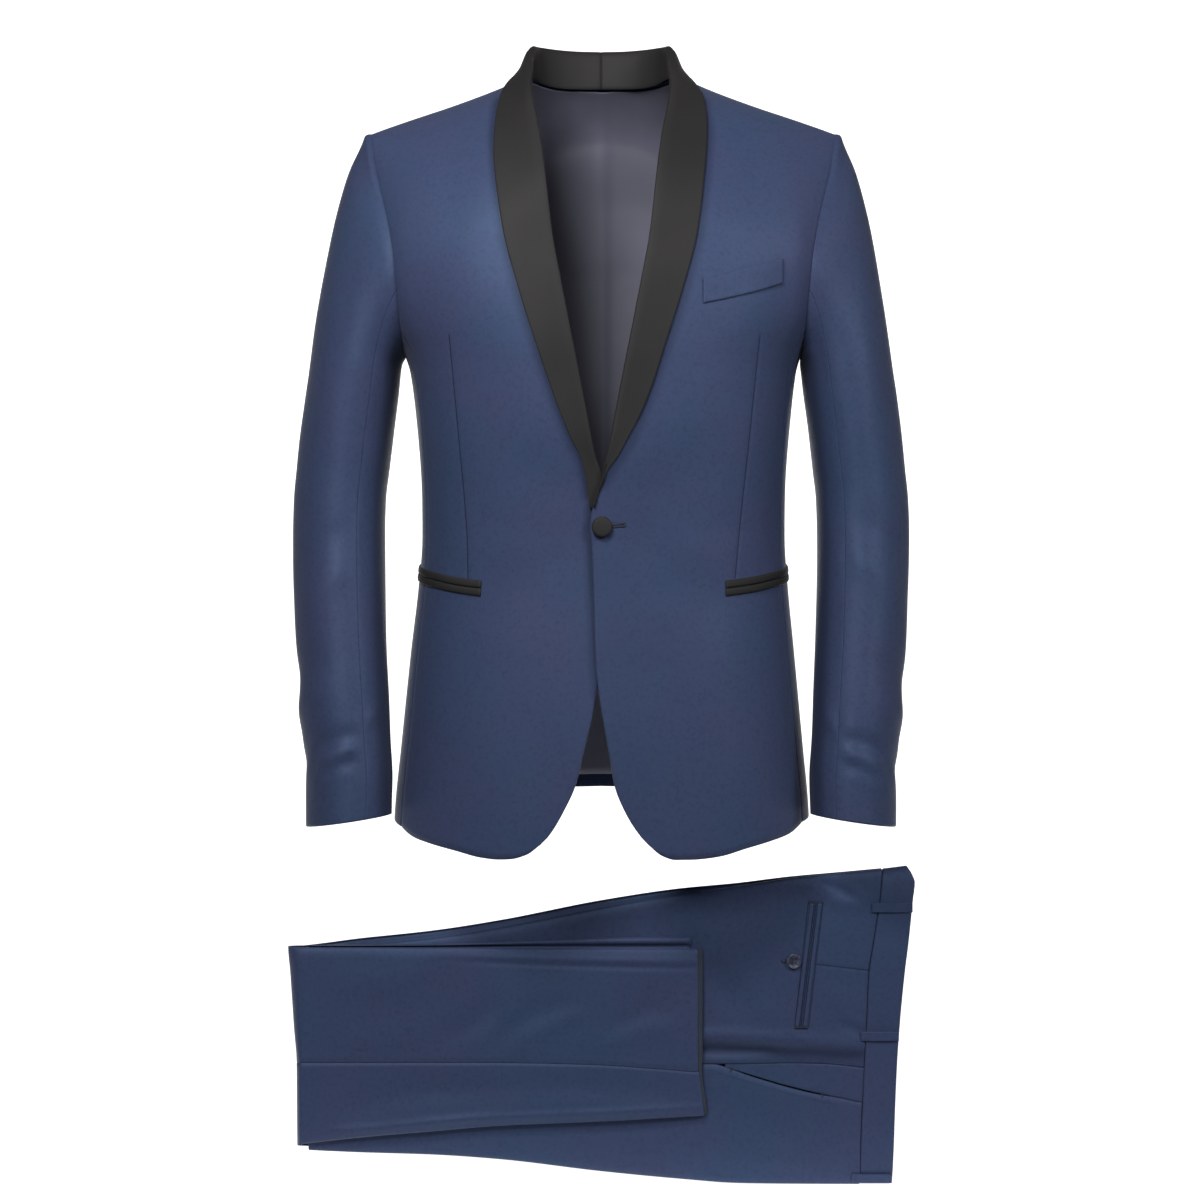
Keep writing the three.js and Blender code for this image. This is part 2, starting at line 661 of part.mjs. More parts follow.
function sleevePoint(side, angle, v) {
  const turn = degToRad(angle);
  const ring = (z, tilt) => vec(
    sleeve.centre(z) + sleeve.half(z) * Math.cos(turn),
    sleeve.centreY(z) - sleeve.depth(z) * Math.sin(turn),
    z - CUFF_TILT * Math.cos(turn) * tilt,
  );
  if (v >= CAP_SHARE) {
    const share = (v - CAP_SHARE) / (1 - CAP_SHARE);
    const point = ring(lerp(CAP_END_Z, CUFF_Z, share), share ** 3);
    point.x *= side;
    return point;
  }
  const start = armholePoint(side, angle);
  const end = ring(CAP_END_Z, 0);
  const outward = (1 + Math.cos(turn)) / 2;
  const forward = Math.sin(turn);
  const leaving = start.clone().add(vec(1 + 20 * outward, -4 * forward, -4 - 4 * forward ** 2));
  const arriving = end.clone().addScaledVector(vec(-0.15, 0, 1), 0.58 * (start.z - end.z));
  const point = new THREE.CubicBezierCurve3(start, leaving, arriving, end).getPoint(v / CAP_SHARE);
  point.x *= side;
  return point;
}

function sleevePiece(side, name, from, to, columns) {
  const cap = [0, 0.07, 0.18, 0.34, 0.54, 0.76].map((t) => t * CAP_SHARE);
  const arm = steps(10).map((t) => lerp(CAP_SHARE, 1, t));
  const place = (u, v) => sleevePoint(side, lerp(from, to, u), v);
  const grid = gridOf([...cap, ...arm], steps(columns), place);
  const middle = degToRad((from + to) / 2);
  const towards = vec(side * Math.cos(middle), -Math.sin(middle), 0);
  piece(`${name}_${wearer(side)}`, wall(grid, { towards }), navyWool());
}

function sleeves(side) {
  const gap = 0.2;
  sleevePiece(side, 'top_sleeve', SLEEVE_BACK_SEAM + gap, SLEEVE_FRONT_SEAM - gap, 12);
  sleevePiece(side, 'under_sleeve', SLEEVE_FRONT_SEAM + gap, 360 + SLEEVE_BACK_SEAM - gap, 5);
}

// Shawl collar: a satin strip from the button over the roll line and round the neck.
// Each section runs from the foot at the roll or neck seam, over the fold, to the outer edge.
function chestSection(side, z) {
  const roll = lapel.roll(z);
  const edge = lapel[layer(side)](z);
  const rise = lapel.rise(z);
  const flat = SHAWL_LAY + SATIN;
  const profile = [
    { at: roll + 0.4, off: 0.2 },
    { at: roll, off: rise * 0.55 },
    { at: roll + 1, off: rise * 0.9 },
    { at: lerp(roll, edge, 0.14), off: rise },
    { at: lerp(roll, edge, 0.36), off: lerp(rise, flat, 0.4) },
    { at: lerp(roll, edge, 0.68), off: lerp(rise, flat, 0.9) },
    { at: edge, off: flat },
  ];
  return profile.map(({ at, off }) => {
    const point = frontSkin(side, at, z);
    return point.addScaledVector(frontOut(side, at, z), off);
  });
}

function neckSection(side, row) {
  const [foot, fold, edge] = [row.foot, row.fold, row.edge].map(([x, y, z]) => vec(side * x, y, z));
  const up = fold.clone().sub(foot.clone().lerp(edge, 0.5)).normalize();
  const out = edge.clone().sub(foot);
  out.addScaledVector(up, -out.dot(up)).normalize();
  const beside = (share) => fold.clone().addScaledVector(up, -row.loop).addScaledVector(out, share * row.loop);
  const inFold = beside(-1);
  const outFold = beside(1.15);
  const stand = foot.clone().lerp(inFold, 0.55);
  const fall = outFold.clone().lerp(edge, 0.52);
  return [foot, stand, inFold, fold, outFold, fall, edge];
}

const LAPEL_HEIGHTS = [-362, -345, -320, -290, -257, -222, -186, -150, -118, -90, -66, -46, -30, -16, -4];

function shawl(side) {
  const bottom = side > 0 ? [-387, -376] : [-412, -397, -382];
  const chest = [...bottom, ...LAPEL_HEIGHTS];
  const grid = [
    ...chest.map((z) => chestSection(side, z)),
    ...collarTable.map((row) => neckSection(side, row)),
  ];
  const rollThick = [0.8, 0.8, 1.1, SATIN, SATIN, SATIN, SATIN];
  const thick = (j, i) => (j < chest.length ? rollThick[i] : SATIN);
  const last = grid.length - 1;
  const trim = (point) => {
    if (Math.abs(point.x) < 2) point.x = (side * SEAM) / 2;
  };
  for (const point of grid[last]) point.x = (side * SEAM) / 2;
  const options = { thick, towards: vec(0, -1, 0), trim };
  piece(`shawl_collar_${wearer(side)}`, wall(grid, options), blackSatin());
}

// Lining of the back, inside the cloth, from just below the neck to just above the hem
function backLining(left, right) {
  const rows = left.map((row, j) => j).filter((j) => j >= 1 && j <= left.length - 3);
  const columns = [0, 2, 4, 6, 7, 8, 9, 10, 11];
  const grid = rows.map((j) => [
    ...[...columns].reverse().map((i) => right[j][i]),
    ...columns.slice(1).map((i) => left[j][i]),
  ]);
  for (const row of grid) for (const point of row) if (point.out.y < 0) point.out.negate();
  const gap = (j) => lerp(LINING_GAP, LINING_GAP_YOKE, smoothstep(j, 9, 13));
  const options = { rise: (j) => -(WOOL + gap(j)), thick: LINING, towards: vec(0, 1, 0) };
  piece('back_lining', wall(grid, options), greyLining());
}

// Hip pockets: two satin jets with the mouth between them, running round onto the side panel
function hipPocketJets(side) {
  for (const [name, direction] of [['upper', 1], ['lower', -1]]) {
    const grid = gridOf([0, 0.5, 1], steps(13), (u, v) => {
      const angle = lerp(JET_FRONT_ANGLE, JET_BACK_ANGLE, u);
      const offset = direction * (JET_SLIT / 2 + v * JET_WIDTH);
      return ringSkin(side, angle, hipPocket(angle) + offset);
    });
    const options = { rise: JET_LAY + SATIN, thick: SATIN, towards: vec(side * 0.6, -1, 0) };
    piece(`hip_pocket_jet_${name}_${wearer(side)}`, wall(grid, options), blackSatin());
  }
}

// Breast pocket: a slanted welt on the left chest
function breastWelt() {
  const grid = gridOf([0, 0.5, 1], steps(7), (u, v) => {
    const x = lerp(breastPocketTable[0].x, breastPocketTable.at(-1).x, u);
    return frontSkin(1, x, lerp(breastPocket.bottom(x), breastPocket.top(x), v));
  });
  const options = { rise: LAY + WOOL, thick: WOOL, towards: vec(0, -1, 0) };
  piece('breast_pocket_welt', wall(grid, options), navyWool());
}

// Front button: a domed button with a covered rim, on the left front
function frontButton() {
  const r = BUTTON_RADIUS;
  const h = BUTTON_HEIGHT;
  const profile = [
    [0, 0], [r * 0.74, 0], [r * 0.95, h * 0.2], [r, h * 0.42], [r * 0.95, h * 0.62],
    [r * 0.84, h * 0.72], [r * 0.74, h * 0.66], [r * 0.6, h * 0.8], [r * 0.34, h * 0.95], [0, h],
  ].map(([x, y]) => new THREE.Vector2(x, y));
  const geometry = new THREE.LatheGeometry(profile, 24);
  geometry.rotateX(Math.PI);
  const seat = frontSkin(1, BUTTON_X, BUTTON_Z);
  geometry.translate(BUTTON_X, seat.y - BUTTON_SHANK, BUTTON_Z);
  piece('front_button', geometry, blackSatin());
}

// Folded trousers. The right leg faces the front, and the left leg is behind it. Both fold at the knee
// towards the front, so the left leg's lower half ends on top, with its hem over the right hip.

// Depth lost towards a pressed crease
const creaseDrop = (distance) => {
  const near = THREE.MathUtils.clamp(1 - distance / CREASE_ROUND, 0, 1);
  return CREASE_DEPTH * (1 - Math.sqrt(1 - near * near));
};
const hipFace = (x) => RIGHT_LEG_Y - HIP_RISE * smoothstep(x, 95, 150);

function rightLegSkin(x, z) {
  const edge = Math.min(trouser.rightTop(x) - z, z - trouser.bottom(x));
  return vec(x, hipFace(x) + creaseDrop(edge), z);
}

// Shares from a seam to a pressed crease, closer together at the crease
const CREASE_SHARES = [0, 0.3, 0.6, 0.84, 0.94, 1];

function rightLeg() {
  const start = RIGHT_LEG_X;
  const back = gridOf(steps(13), CREASE_SHARES, (u, v) => {
    const seamX = lerp(start, trouserEnd.waist(-963) - WAIST_GAP, v);
    const topX = lerp(start, trouserEnd.waist(-772) - WAIST_GAP, v);
    const z = lerp(trouserSeam.hip(seamX) + SEAM / 2, trouser.rightTop(topX), u);
    const x = lerp(start, trouserEnd.waist(z) - WAIST_GAP, v);
    return rightLegSkin(x, Math.min(z, trouser.rightTop(x)));
  });
  piece('right_leg_back', wall(back, { towards: vec(0, -1, 0) }), trouserWool());
  const front = gridOf(steps(13), [0, 0.06, 0.16, 0.45, 0.75, 1], (u, v) => {
    const seamX = lerp(start, trouserEnd.waist(-1000) - WAIST_GAP, v);
    const upper = seamX > pocketMouthTable[0].x ? pocketMouth(seamX) : trouserSeam.hip(seamX);
    const z = lerp(trouser.bottom(seamX), upper - SEAM / 2, u);
    return rightLegSkin(lerp(start, trouserEnd.waist(z) - WAIST_GAP, v), z);
  });
  piece('right_leg_front', wall(front, { towards: vec(0, -1, 0) }), trouserWool());
}

// Cloth behind the slanted pocket mouth, between it and the side seam
function pocketFacing() {
  const grid = gridOf(steps(7), [0, 0.5, 1], (u, v) => {
    const x = lerp(124, trouserEnd.waist(-1000) - 2 * WAIST_GAP, v);
    const z = lerp(pocketMouth(x) + SEAM, trouserSeam.hip(x) - SEAM, u);
    return rightLegSkin(x, z);
  });
  const options = { rise: -0.7, thick: 1, towards: vec(0, -1, 0) };
  piece('pocket_facing', wall(grid, options), trouserWool());
}

// The hem end of the top layer settles onto the hip
const settleTo = (x) => 2 * smoothstep(x, 40, 100);

// Left leg: behind the right one from the waist to the knee, round the fold, and back on top to the hem
function leftLegPath(half) {
  const middleY = (LEFT_LEG_BACK_Y + LEFT_LEG_FRONT_Y) / 2;
  const radius = (LEFT_LEG_BACK_Y - LEFT_LEG_FRONT_Y) / 2;
  const crease = {
    behind: half === 'back' ? trouser.leftTop : (x) => trouser.bottom(x) + 2.5,
    above: half === 'back' ? topLayer.legTop : topLayer.legBottom,
  };
  const seamSide = half === 'back' ? SEAM / 2 : -SEAM / 2;
  const hem = (z) => (half === 'back' ? 99.4 : lerp(97.5, 103, (trouserSeam.leg(99) - z) / 45));
  const turnX = KNEE_X;
  const behind = (v, u) => {
    const zAt = (x) => lerp(trouserSeam.hip(x) + seamSide, crease.behind(x), u);
    const far = trouserEnd.waist(zAt(250)) - WAIST_GAP;
    const x = lerp(far, turnX, v);
    const z = zAt(x);
    return vec(x, LEFT_LEG_BACK_Y - creaseDrop(Math.abs(z - crease.behind(x))), z);
  };
  const round = (v, u) => {
    const before = lerp(trouserSeam.hip(turnX) + seamSide, crease.behind(turnX), u);
    const after = lerp(trouserSeam.leg(turnX) + seamSide, crease.above(turnX), u);
    const z = lerp(before, after, v);
    const swing = lerp(Math.PI / 2, -Math.PI / 2, v);
    const reach = turnX - trouserEnd.fold(z);
    const drop = creaseDrop(Math.abs(z - crease.above(turnX)));
    return vec(turnX - reach * Math.cos(swing), middleY + (radius - drop) * Math.sin(swing), z);
  };
  const above = (v, u) => {
    const zAt = (x) => lerp(trouserSeam.leg(x) + seamSide, crease.above(x), u);
    const x = lerp(turnX, hem(zAt(99)), v);
    const z = zAt(x);
    const drop = creaseDrop(Math.abs(z - crease.above(x)));
    return vec(x, LEFT_LEG_FRONT_Y + drop + settleTo(x), z);
  };
  return { behind, round, above };
}

function leftLeg() {
  const across = CREASE_SHARES;
  for (const half of ['back', 'front']) {
    const path = leftLegPath(half);
    const rows = [
      ...steps(7).map((v) => across.map((u) => path.behind(v, u))),
      ...[0.2, 0.4, 0.6, 0.8].map((v) => across.map((u) => path.round(v, u))),
      ...steps(7).map((v) => across.map((u) => path.above(v, u))),
    ];
    const grid = rows.map((row) => (half === 'back' ? row : row.reverse()));
    const geometry = wall(grid, { towards: vec(-1, 0, 0) });
    piece(`left_leg_${half}`, geometry, trouserWool());
  }
}

// Hidden layers of the legs, as two rounded blocks with their edges stepped back from the creases
function hiddenLayers() {
  const edgeShare = [0.22, 0.7, 1, 1, 1, 0.7, 0.22];
  const endShare = (j, count) => (j === 0 || j === count - 1 ? 0.5 : 1);
  const upper = steps(12).map((v) => [0, 0.03, 0.1, 0.5, 0.9, 0.97, 1].map((u) => {
    const x = lerp(BLOCK_X, trouserEnd.top(lerp(-1075, -785, u)) - 4, v);
    return vec(x, 0, lerp(trouser.bottom(x) + 7, trouser.rightTop(x) - 6, u));
  }));
  const upperFace = (j, i, end) => {
    const front = hipFace(upper[j][i].x) + WOOL + LAY;
    const rear = LEFT_LEG_BACK_Y - WOOL - LAY;
    const half = ((rear - front) / 2) * edgeShare[i] * endShare(j, upper.length);
    return (front + rear) / 2 + end * half;
  };
  const upperBlock = block(upper, (j, i) => upperFace(j, i, -1), (j, i) => upperFace(j, i, 1));
  piece('upper_legs_hidden_layers', upperBlock, trouserWool());

  // The lower halves show as a sliver above the top layer towards the hem
  const lower = steps(9).map((v) => {
    const x = lerp(BLOCK_X, 90, v);
    const top = topLayer.legTop(x);
    const bottom = topLayer.legBottom(x);
    const inside = topLayer.insideTop(x) + 0.5;
    const heights = [bottom + 5, bottom + 14, (top + bottom) / 2, top - 14, top - 1, inside];
    return heights.map((z) => vec(x, 0, z));
  });
  const frontStep = [2.6, 0, 0, 0, 3.8, 5.4];
  const backStep = [1.6, 0, 0, 0, 0.5, 1.2];
  const faceY = (j) => LEFT_LEG_FRONT_Y + settleTo(lower[j][0].x) + WOOL + LAY;
  const endStep = (j) => (j === 0 || j === lower.length - 1 ? 1.4 : 0);
  const lowerBlock = block(
    lower,
    (j, i) => faceY(j) + Math.min(frontStep[i] + endStep(j), 5.4),
    (j, i) => RIGHT_LEG_Y - LAY - backStep[i],
  );
  piece('lower_legs_hidden_layers', lowerBlock, trouserWool());
}

// Waistband: a flattened band round the top edge, open at its end
function bandPoint(share, v, back) {
  const z = lerp(HEM_Z, lerp(-771, -765.5, v), (share + 1) / 2);
  const x = lerp(trouserEnd.waist(z), trouserEnd.top(z), v);
  const round = Math.sqrt(1 - Math.abs(share) ** 16);
  const face = back ? LEFT_LEG_BACK_Y + 0.6 : hipFace(300) - 0.6;
  return vec(x, lerp(1, face, round), z);
}

function waistband() {
  const shares = [-0.995, -0.96, -0.86, -0.45, 0, 0.45, 0.86, 0.96, 0.995];
  const grid = [0, 0.5, 1].map((v) => [
    ...shares.map((share) => bandPoint(share, v, false)),
    ...[...shares].reverse().map((share) => bandPoint(share, v, true)),
  ]);
  piece('waistband', wall(grid, { thick: WAISTBAND, towards: vec(0, 1, 0), ring: true }), trouserWool());
}

// Belt loops: narrow strips across the waistband, three on each side
const loopTable = [
  { name: 'rear', z: -807, from: 270.5, to: 310.5 },
  { name: 'side', z: -935.2, from: 259.5, to: 296.8 },
  { name: 'fore', z: -1077, from: 250.5, to: 290 },
];

function beltLoops() {
  for (const { name, z, from, to } of loopTable) {
    for (const side of [-1, 1]) {
      const face = side < 0 ? hipFace(300) - 0.6 : LEFT_LEG_BACK_Y + 0.6;
      const grid = gridOf(steps(4), [0, 0.5, 1], (u, v) => {
        const place = z + (u - 0.5) * LOOP_WIDTH;
        const crease = Math.max(0, Math.abs(place - (-924)) - 148) * 0.16;
        return vec(lerp(from, to, v), face - side * crease, place);
      });
      const options = { rise: LAY + WOOL, thick: WOOL, towards: vec(0, side, 0) };
      piece(`belt_loop_${name}_${wearer(side)}`, wall(grid, options), trouserWool());
    }
  }
}

// Back pocket: two welts along its mouth, a button below it and the button's loop
const backPocket = { topX: 214.6, topZ: -802.6, bottomX: 199.4, bottomZ: -925.4, welt: 5.4, slit: 0.9 };

function pocketWelts() {
  for (const [name, direction] of [['upper', 1], ['lower', -1]]) {
    const grid = gridOf(steps(6), [0, 0.5, 1], (u, v) => {
      const x = lerp(backPocket.bottomX, backPocket.topX, v);
      const offset = direction * (backPocket.slit / 2 + u * backPocket.welt);
      return rightLegSkin(x + offset, lerp(backPocket.bottomZ, backPocket.topZ, v));
    });
    const options = { rise: LAY + TRIM_CLOTH, thick: TRIM_CLOTH, towards: vec(0, -1, 0) };
    piece(`back_pocket_welt_${name}`, wall(grid, options), trouserWool());
  }
}

function pocketButton() {
  const r = 7.6;
  const h = 3.4;
  const profile = [
    [0, 0], [r * 0.8, 0], [r, h * 0.4], [r * 0.97, h * 0.8],
    [r * 0.84, h], [r * 0.7, h * 0.78], [0, h * 0.66],
  ].map(([x, y]) => new THREE.Vector2(x, y));
  const geometry = new THREE.LatheGeometry(profile, 20);
  geometry.rotateX(Math.PI);
  const seat = rightLegSkin(192.4, -860.4);
  geometry.translate(seat.x, seat.y - LAY, seat.z);
  piece('back_pocket_button', geometry, buttonBlack());
  const tabAt = (u, v) => rightLegSkin(lerp(180.4, 184.3, v), lerp(-861.4, -858.6, u));
  const tab = gridOf([0, 0.5, 1], [0, 0.5, 1], tabAt);
  const options = { rise: LAY + TRIM_CLOTH, thick: TRIM_CLOTH, towards: vec(0, -1, 0) };
  piece('back_pocket_button_loop', wall(tab, options), trouserWool());
}

const backs = {};
for (const side of [1, -1]) {
  front(side);
  backs[wearer(side)] = back(side);
  sidePanel(side);
  sleeves(side);
  shawl(side);
  hipPocketJets(side);
}
backLining(backs.left, backs.right);
breastWelt();
frontButton();
rightLeg();
pocketFacing();
leftLeg();
hiddenLayers();
waistband();
beltLoops();
pocketWelts();
pocketButton();

export default group;
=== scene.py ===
import math

import bpy
import numpy as np
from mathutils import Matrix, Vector


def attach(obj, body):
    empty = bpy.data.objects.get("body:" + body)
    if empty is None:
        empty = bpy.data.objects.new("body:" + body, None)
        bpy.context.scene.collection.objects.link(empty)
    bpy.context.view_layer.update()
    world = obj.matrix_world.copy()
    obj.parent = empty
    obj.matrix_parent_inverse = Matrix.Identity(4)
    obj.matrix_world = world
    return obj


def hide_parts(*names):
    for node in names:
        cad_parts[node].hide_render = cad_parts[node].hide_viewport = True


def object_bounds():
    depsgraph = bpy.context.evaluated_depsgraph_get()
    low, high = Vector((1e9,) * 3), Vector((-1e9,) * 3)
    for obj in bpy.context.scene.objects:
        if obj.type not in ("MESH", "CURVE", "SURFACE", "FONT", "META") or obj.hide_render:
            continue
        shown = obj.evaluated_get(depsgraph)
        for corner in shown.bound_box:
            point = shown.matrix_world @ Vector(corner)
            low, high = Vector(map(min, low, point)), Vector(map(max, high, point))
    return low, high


# The frame, and a long-lens camera level with the middle of the suit.
# The jacket hangs in the air at its own height, with the folded trousers below it on the floor.
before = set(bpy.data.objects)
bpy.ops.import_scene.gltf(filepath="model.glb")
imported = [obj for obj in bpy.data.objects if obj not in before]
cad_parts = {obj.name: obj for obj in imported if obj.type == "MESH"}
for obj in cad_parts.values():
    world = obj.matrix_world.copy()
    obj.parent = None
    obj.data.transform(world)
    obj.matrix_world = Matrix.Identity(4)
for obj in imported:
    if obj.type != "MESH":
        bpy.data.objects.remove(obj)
cad_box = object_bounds()
scene = bpy.context.scene
camera_data = bpy.data.cameras.new("camera")
camera_data.lens = 102
camera_data.sensor_width = 36
camera_data.clip_end = 50
camera = bpy.data.objects.new("camera", camera_data)
camera.location = (-0.001, -3.4, -0.5)
camera.rotation_euler = (math.radians(90), 0, 0)
scene.collection.objects.link(camera)
scene.camera = camera
scene.view_settings.view_transform = "Standard"


# Soft studio light: a lamp near the chest from above, one from the right and one from far in front.
# The air itself is dim, so that the folds keep their shade.
def area_light(name, place, target, size, power):
    data = bpy.data.lights.new(name, "AREA")
    data.shape = "RECTANGLE"
    data.size, data.size_y = size
    data.energy = power
    light = bpy.data.objects.new(name, data)
    light.location = place
    light.rotation_euler = (Vector(target) - Vector(place)).to_track_quat("-Z", "Y").to_euler()
    scene.collection.objects.link(light)


area_light("key", (-0.38, -1.05, 0.45), (-0.12, -0.1, -0.2), (0.4, 0.25), 14)
area_light("side", (1.5, -1.6, 0.5), (0, 0, -0.55), (0.6, 0.5), 24)
area_light("front", (-0.6, -3.0, 0.8), (0, 0, -0.5), (1.2, 0.6), 38)
world = bpy.data.worlds.new("room")
scene.world = world
world.use_nodes = True
world.node_tree.nodes["Background"].inputs[0].default_value = (1, 1, 1, 1)
world.node_tree.nodes["Background"].inputs[1].default_value = 0.14


# Arithmetic on shader sockets, so that a material reads as a formula.
# Every node is made by Finish.make, and every other method goes through it.
class Value:
    def __init__(self, finish, socket):
        self.finish = finish
        self.socket = socket

    def math(self, operation, *others):
        return self.finish.make("ShaderNodeMath", [self, *others], operation=operation)

    def __add__(self, other):
        return self.math("ADD", other)

    def __sub__(self, other):
        return self.math("SUBTRACT", other)

    def __mul__(self, other):
        return self.math("MULTIPLY", other)

    def __pow__(self, other):
        return self.math("POWER", other)

    def __rsub__(self, other):
        return self.finish.make("ShaderNodeMath", [other, self], operation="SUBTRACT")

    __radd__ = __add__
    __rmul__ = __mul__

    def step_in(self, low, high):
        return self.finish.make("ShaderNodeClamp", [self, low, high])

    def step(self, low, high):
        return self.finish.make(
            "ShaderNodeMapRange", [self, low, high, 0.0, 1.0], interpolation_type="SMOOTHSTEP"
        )


class Finish:
    def __init__(self, name, roughness, **fixed):
        self.material = bpy.data.materials.new(name)
        self.material.use_nodes = True
        self.tree = self.material.node_tree
        self.surface = self.tree.nodes["Principled BSDF"]
        self.surface.inputs["Roughness"].default_value = roughness
        for key, value in fixed.items():
            self.surface.inputs[key.replace("_", " ")].default_value = value

    def make(self, kind, inputs=(), output=0, **settings):
        node = self.tree.nodes.new(kind)
        for key, value in settings.items():
            setattr(node, key, value)
        pairs = inputs.items() if isinstance(inputs, dict) else enumerate(inputs)
        for key, value in pairs:
            if isinstance(value, Value):
                self.tree.links.new(value.socket, node.inputs[key])
            else:
                node.inputs[key].default_value = value
        return Value(self, node.outputs[output])

    def feed(self, key, value):
        self.tree.links.new(value.socket, self.surface.inputs[key])

    def place(self):
        return self.make("ShaderNodeTexCoord", output="Object")

    def cloth_place(self):
        return self.make("ShaderNodeUVMap", uv_map="cloth")

    def axes(self, place):
        return [self.make("ShaderNodeSeparateXYZ", [place], output=k) for k in range(3)]

    def noise(self, place, scale, detail=2.0, rough=0.5):
        keys = {"Vector": place, "Scale": scale, "Detail": detail, "Roughness": rough}
        return self.make("ShaderNodeTexNoise", keys)

    def nearness(self, x, z, polylines, width):
        """1 on the lines, falling to 0 at the width given in metres."""
        total = None
        for polyline in polylines:
            for (ax, az), (bx, bz) in zip(polyline, polyline[1:]):
                step_x, step_z = (bx - ax) / 1000, (bz - az) / 1000
                long = step_x**2 + step_z**2
                from_x, from_z = x - ax / 1000, z - az / 1000
                share = (from_x * (step_x / long) + from_z * (step_z / long)).step_in(0, 1)
                off_x, off_z = from_x - share * step_x, from_z - share * step_z
                away = (off_x * off_x + off_z * off_z) ** 0.5
                near = 1 - away.step(0, width)
                total = near if total is None else total.math("MAXIMUM", near)
        return total

    def mix(self, share, first, second):
        return self.make("ShaderNodeMix", {0: share, 6: first, 7: second}, output=2, data_type="RGBA")

    def bump(self, height, strength, distance, under=None):
        keys = {"Strength": strength, "Distance": distance, "Height": height}
        if under is not None:
            keys["Normal"] = under
        return self.make("ShaderNodeBump", keys)


def linear(red, green, blue):
    parts = [c / 255 for c in (red, green, blue)]
    return (*[c / 12.92 if c <= 0.04045 else ((c + 0.055) / 1.055) ** 2.4 for c in parts], 1)


# Pale floor: it passes under the trousers and rises into the background well behind the suit.
# It ends a little in front of them, and dims there, so that it throws little light up at the cloth.
FLOOR_Z = cad_box[0].z - 0.0002
FLOOR_FRONT = -0.13
FLOOR_HALF = 1.9


def sweep():
    rise = [(2.4, 0.0), (3.0, 0.07), (3.4, 0.28), (3.65, 0.65), (3.75, 1.2), (3.8, 2.6)]
    profile = [(FLOOR_FRONT, 0.0), *rise]
    vertices = [(x, y, FLOOR_Z + z) for y, z in profile for x in (-FLOOR_HALF, FLOOR_HALF)]
    faces = [(2 * i, 2 * i + 1, 2 * i + 3, 2 * i + 2) for i in range(len(profile) - 1)]
    mesh = bpy.data.meshes.new("floor")
    mesh.from_pydata(vertices, [], faces)
    floor = bpy.data.objects.new("floor", mesh)
    scene.collection.objects.link(floor)
    finish = Finish("floor", 0.9, Specular_IOR_Level=0.1)
    place = finish.place()
    dust = finish.noise(place, 3, 3, 0.5)
    finish.feed("Base Color", finish.mix(dust, (0.8, 0.8, 0.8, 1), (0.84, 0.84, 0.84, 1)))
    behind = finish.axes(place)[1].step(-0.08, 0.02)
    finish.feed("Emission Color", finish.mix(behind, (0.3, 0.3, 0.3, 1), (1, 1, 1, 1)))
    finish.surface.inputs["Emission Strength"].default_value = 0.95
    mesh.materials.append(finish.material)


sweep()


# White room: walls, ceiling and outer floor, far enough away to be behind the suit from every side.
# They light nothing, and their floor covers the dim front strip of the one that the trousers stand on.
ROOM_HALF = 9
ROOM_HEIGHT = 8
COVER_Y = -0.03


def white_room():
    over, under = FLOOR_Z + 0.0001, FLOOR_Z - 0.001
    ground = [(-ROOM_HALF, over), (COVER_Y, over), (COVER_Y + 0.002, under), (ROOM_HALF, under)]
    profile = [*ground, (ROOM_HALF, ROOM_HEIGHT), (-ROOM_HALF, ROOM_HEIGHT)]
    count = len(profile)
    vertices = [(x, y, z) for x in (-ROOM_HALF, ROOM_HALF) for y, z in profile]
    faces = [(i, (i + 1) % count, (i + 1) % count + count, i + count) for i in range(count)]
    faces += [tuple(range(count)), tuple(range(count, 2 * count))[::-1]]
    mesh = bpy.data.meshes.new("white_room")
    mesh.from_pydata(vertices, [], faces)
    room = bpy.data.objects.new("white_room", mesh)
    scene.collection.objects.link(room)
    finish = Finish("white_room", 0.9, Specular_IOR_Level=0.0, Emission_Strength=1.0)
    finish.surface.inputs["Emission Color"].default_value = (1, 1, 1, 1)
    finish.material.cycles.emission_sampling = "NONE"
    mesh.materials.append(finish.material)
    for ray in ("diffuse", "glossy", "transmission", "volume_scatter", "shadow"):
        setattr(room, "visible_" + ray, False)


white_room()


# Sizes are in millimetres, as widths from the centre line and heights above the base of the neck.
# A table gives smooth lines with no overshoot, one for each named column after the first.
def lines(heads, rows):
    key, *names = heads.split()
    rows = sorted(rows)
    at = np.array([row[0] for row in rows], float)
    width = np.diff(at)

    def line(values):
        rise = np.diff(values)
        slope = rise / width
        inner = np.where(
            slope[1:] * slope[:-1] > 0,
            2 * slope[1:] * slope[:-1] / np.where(slope[1:] + slope[:-1] == 0, 1, slope[1:] + slope[:-1]),
            0,
        )
        tangent = np.concatenate([slope[:1], inner, slope[-1:]])

        def place(x):
            x = np.clip(np.asarray(x, float), at[0], at[-1])
            i = np.clip(np.searchsorted(at, x, side="right") - 1, 0, len(at) - 2)
            t = (x - at[i]) / width[i]
            bend = tangent[i] * width[i] * (1 - t) - tangent[i + 1] * width[i] * t
            return values[i] + rise[i] * t * t * (3 - 2 * t) + t * (1 - t) * bend

        return place

    return {name: line(np.array([row[k + 1] for row in rows], float)) for k, name in enumerate(names)}


def smooth(x, low, high):
    t = np.clip((np.asarray(x, float) - low) / (high - low), 0, 1)
    return t * t * (3 - 2 * t)


def mix(a, b, share):
    return a + (b - a) * share


def points(x, y, z):
    return np.stack(np.broadcast_arrays(x, y, z), axis=-1).astype(float)


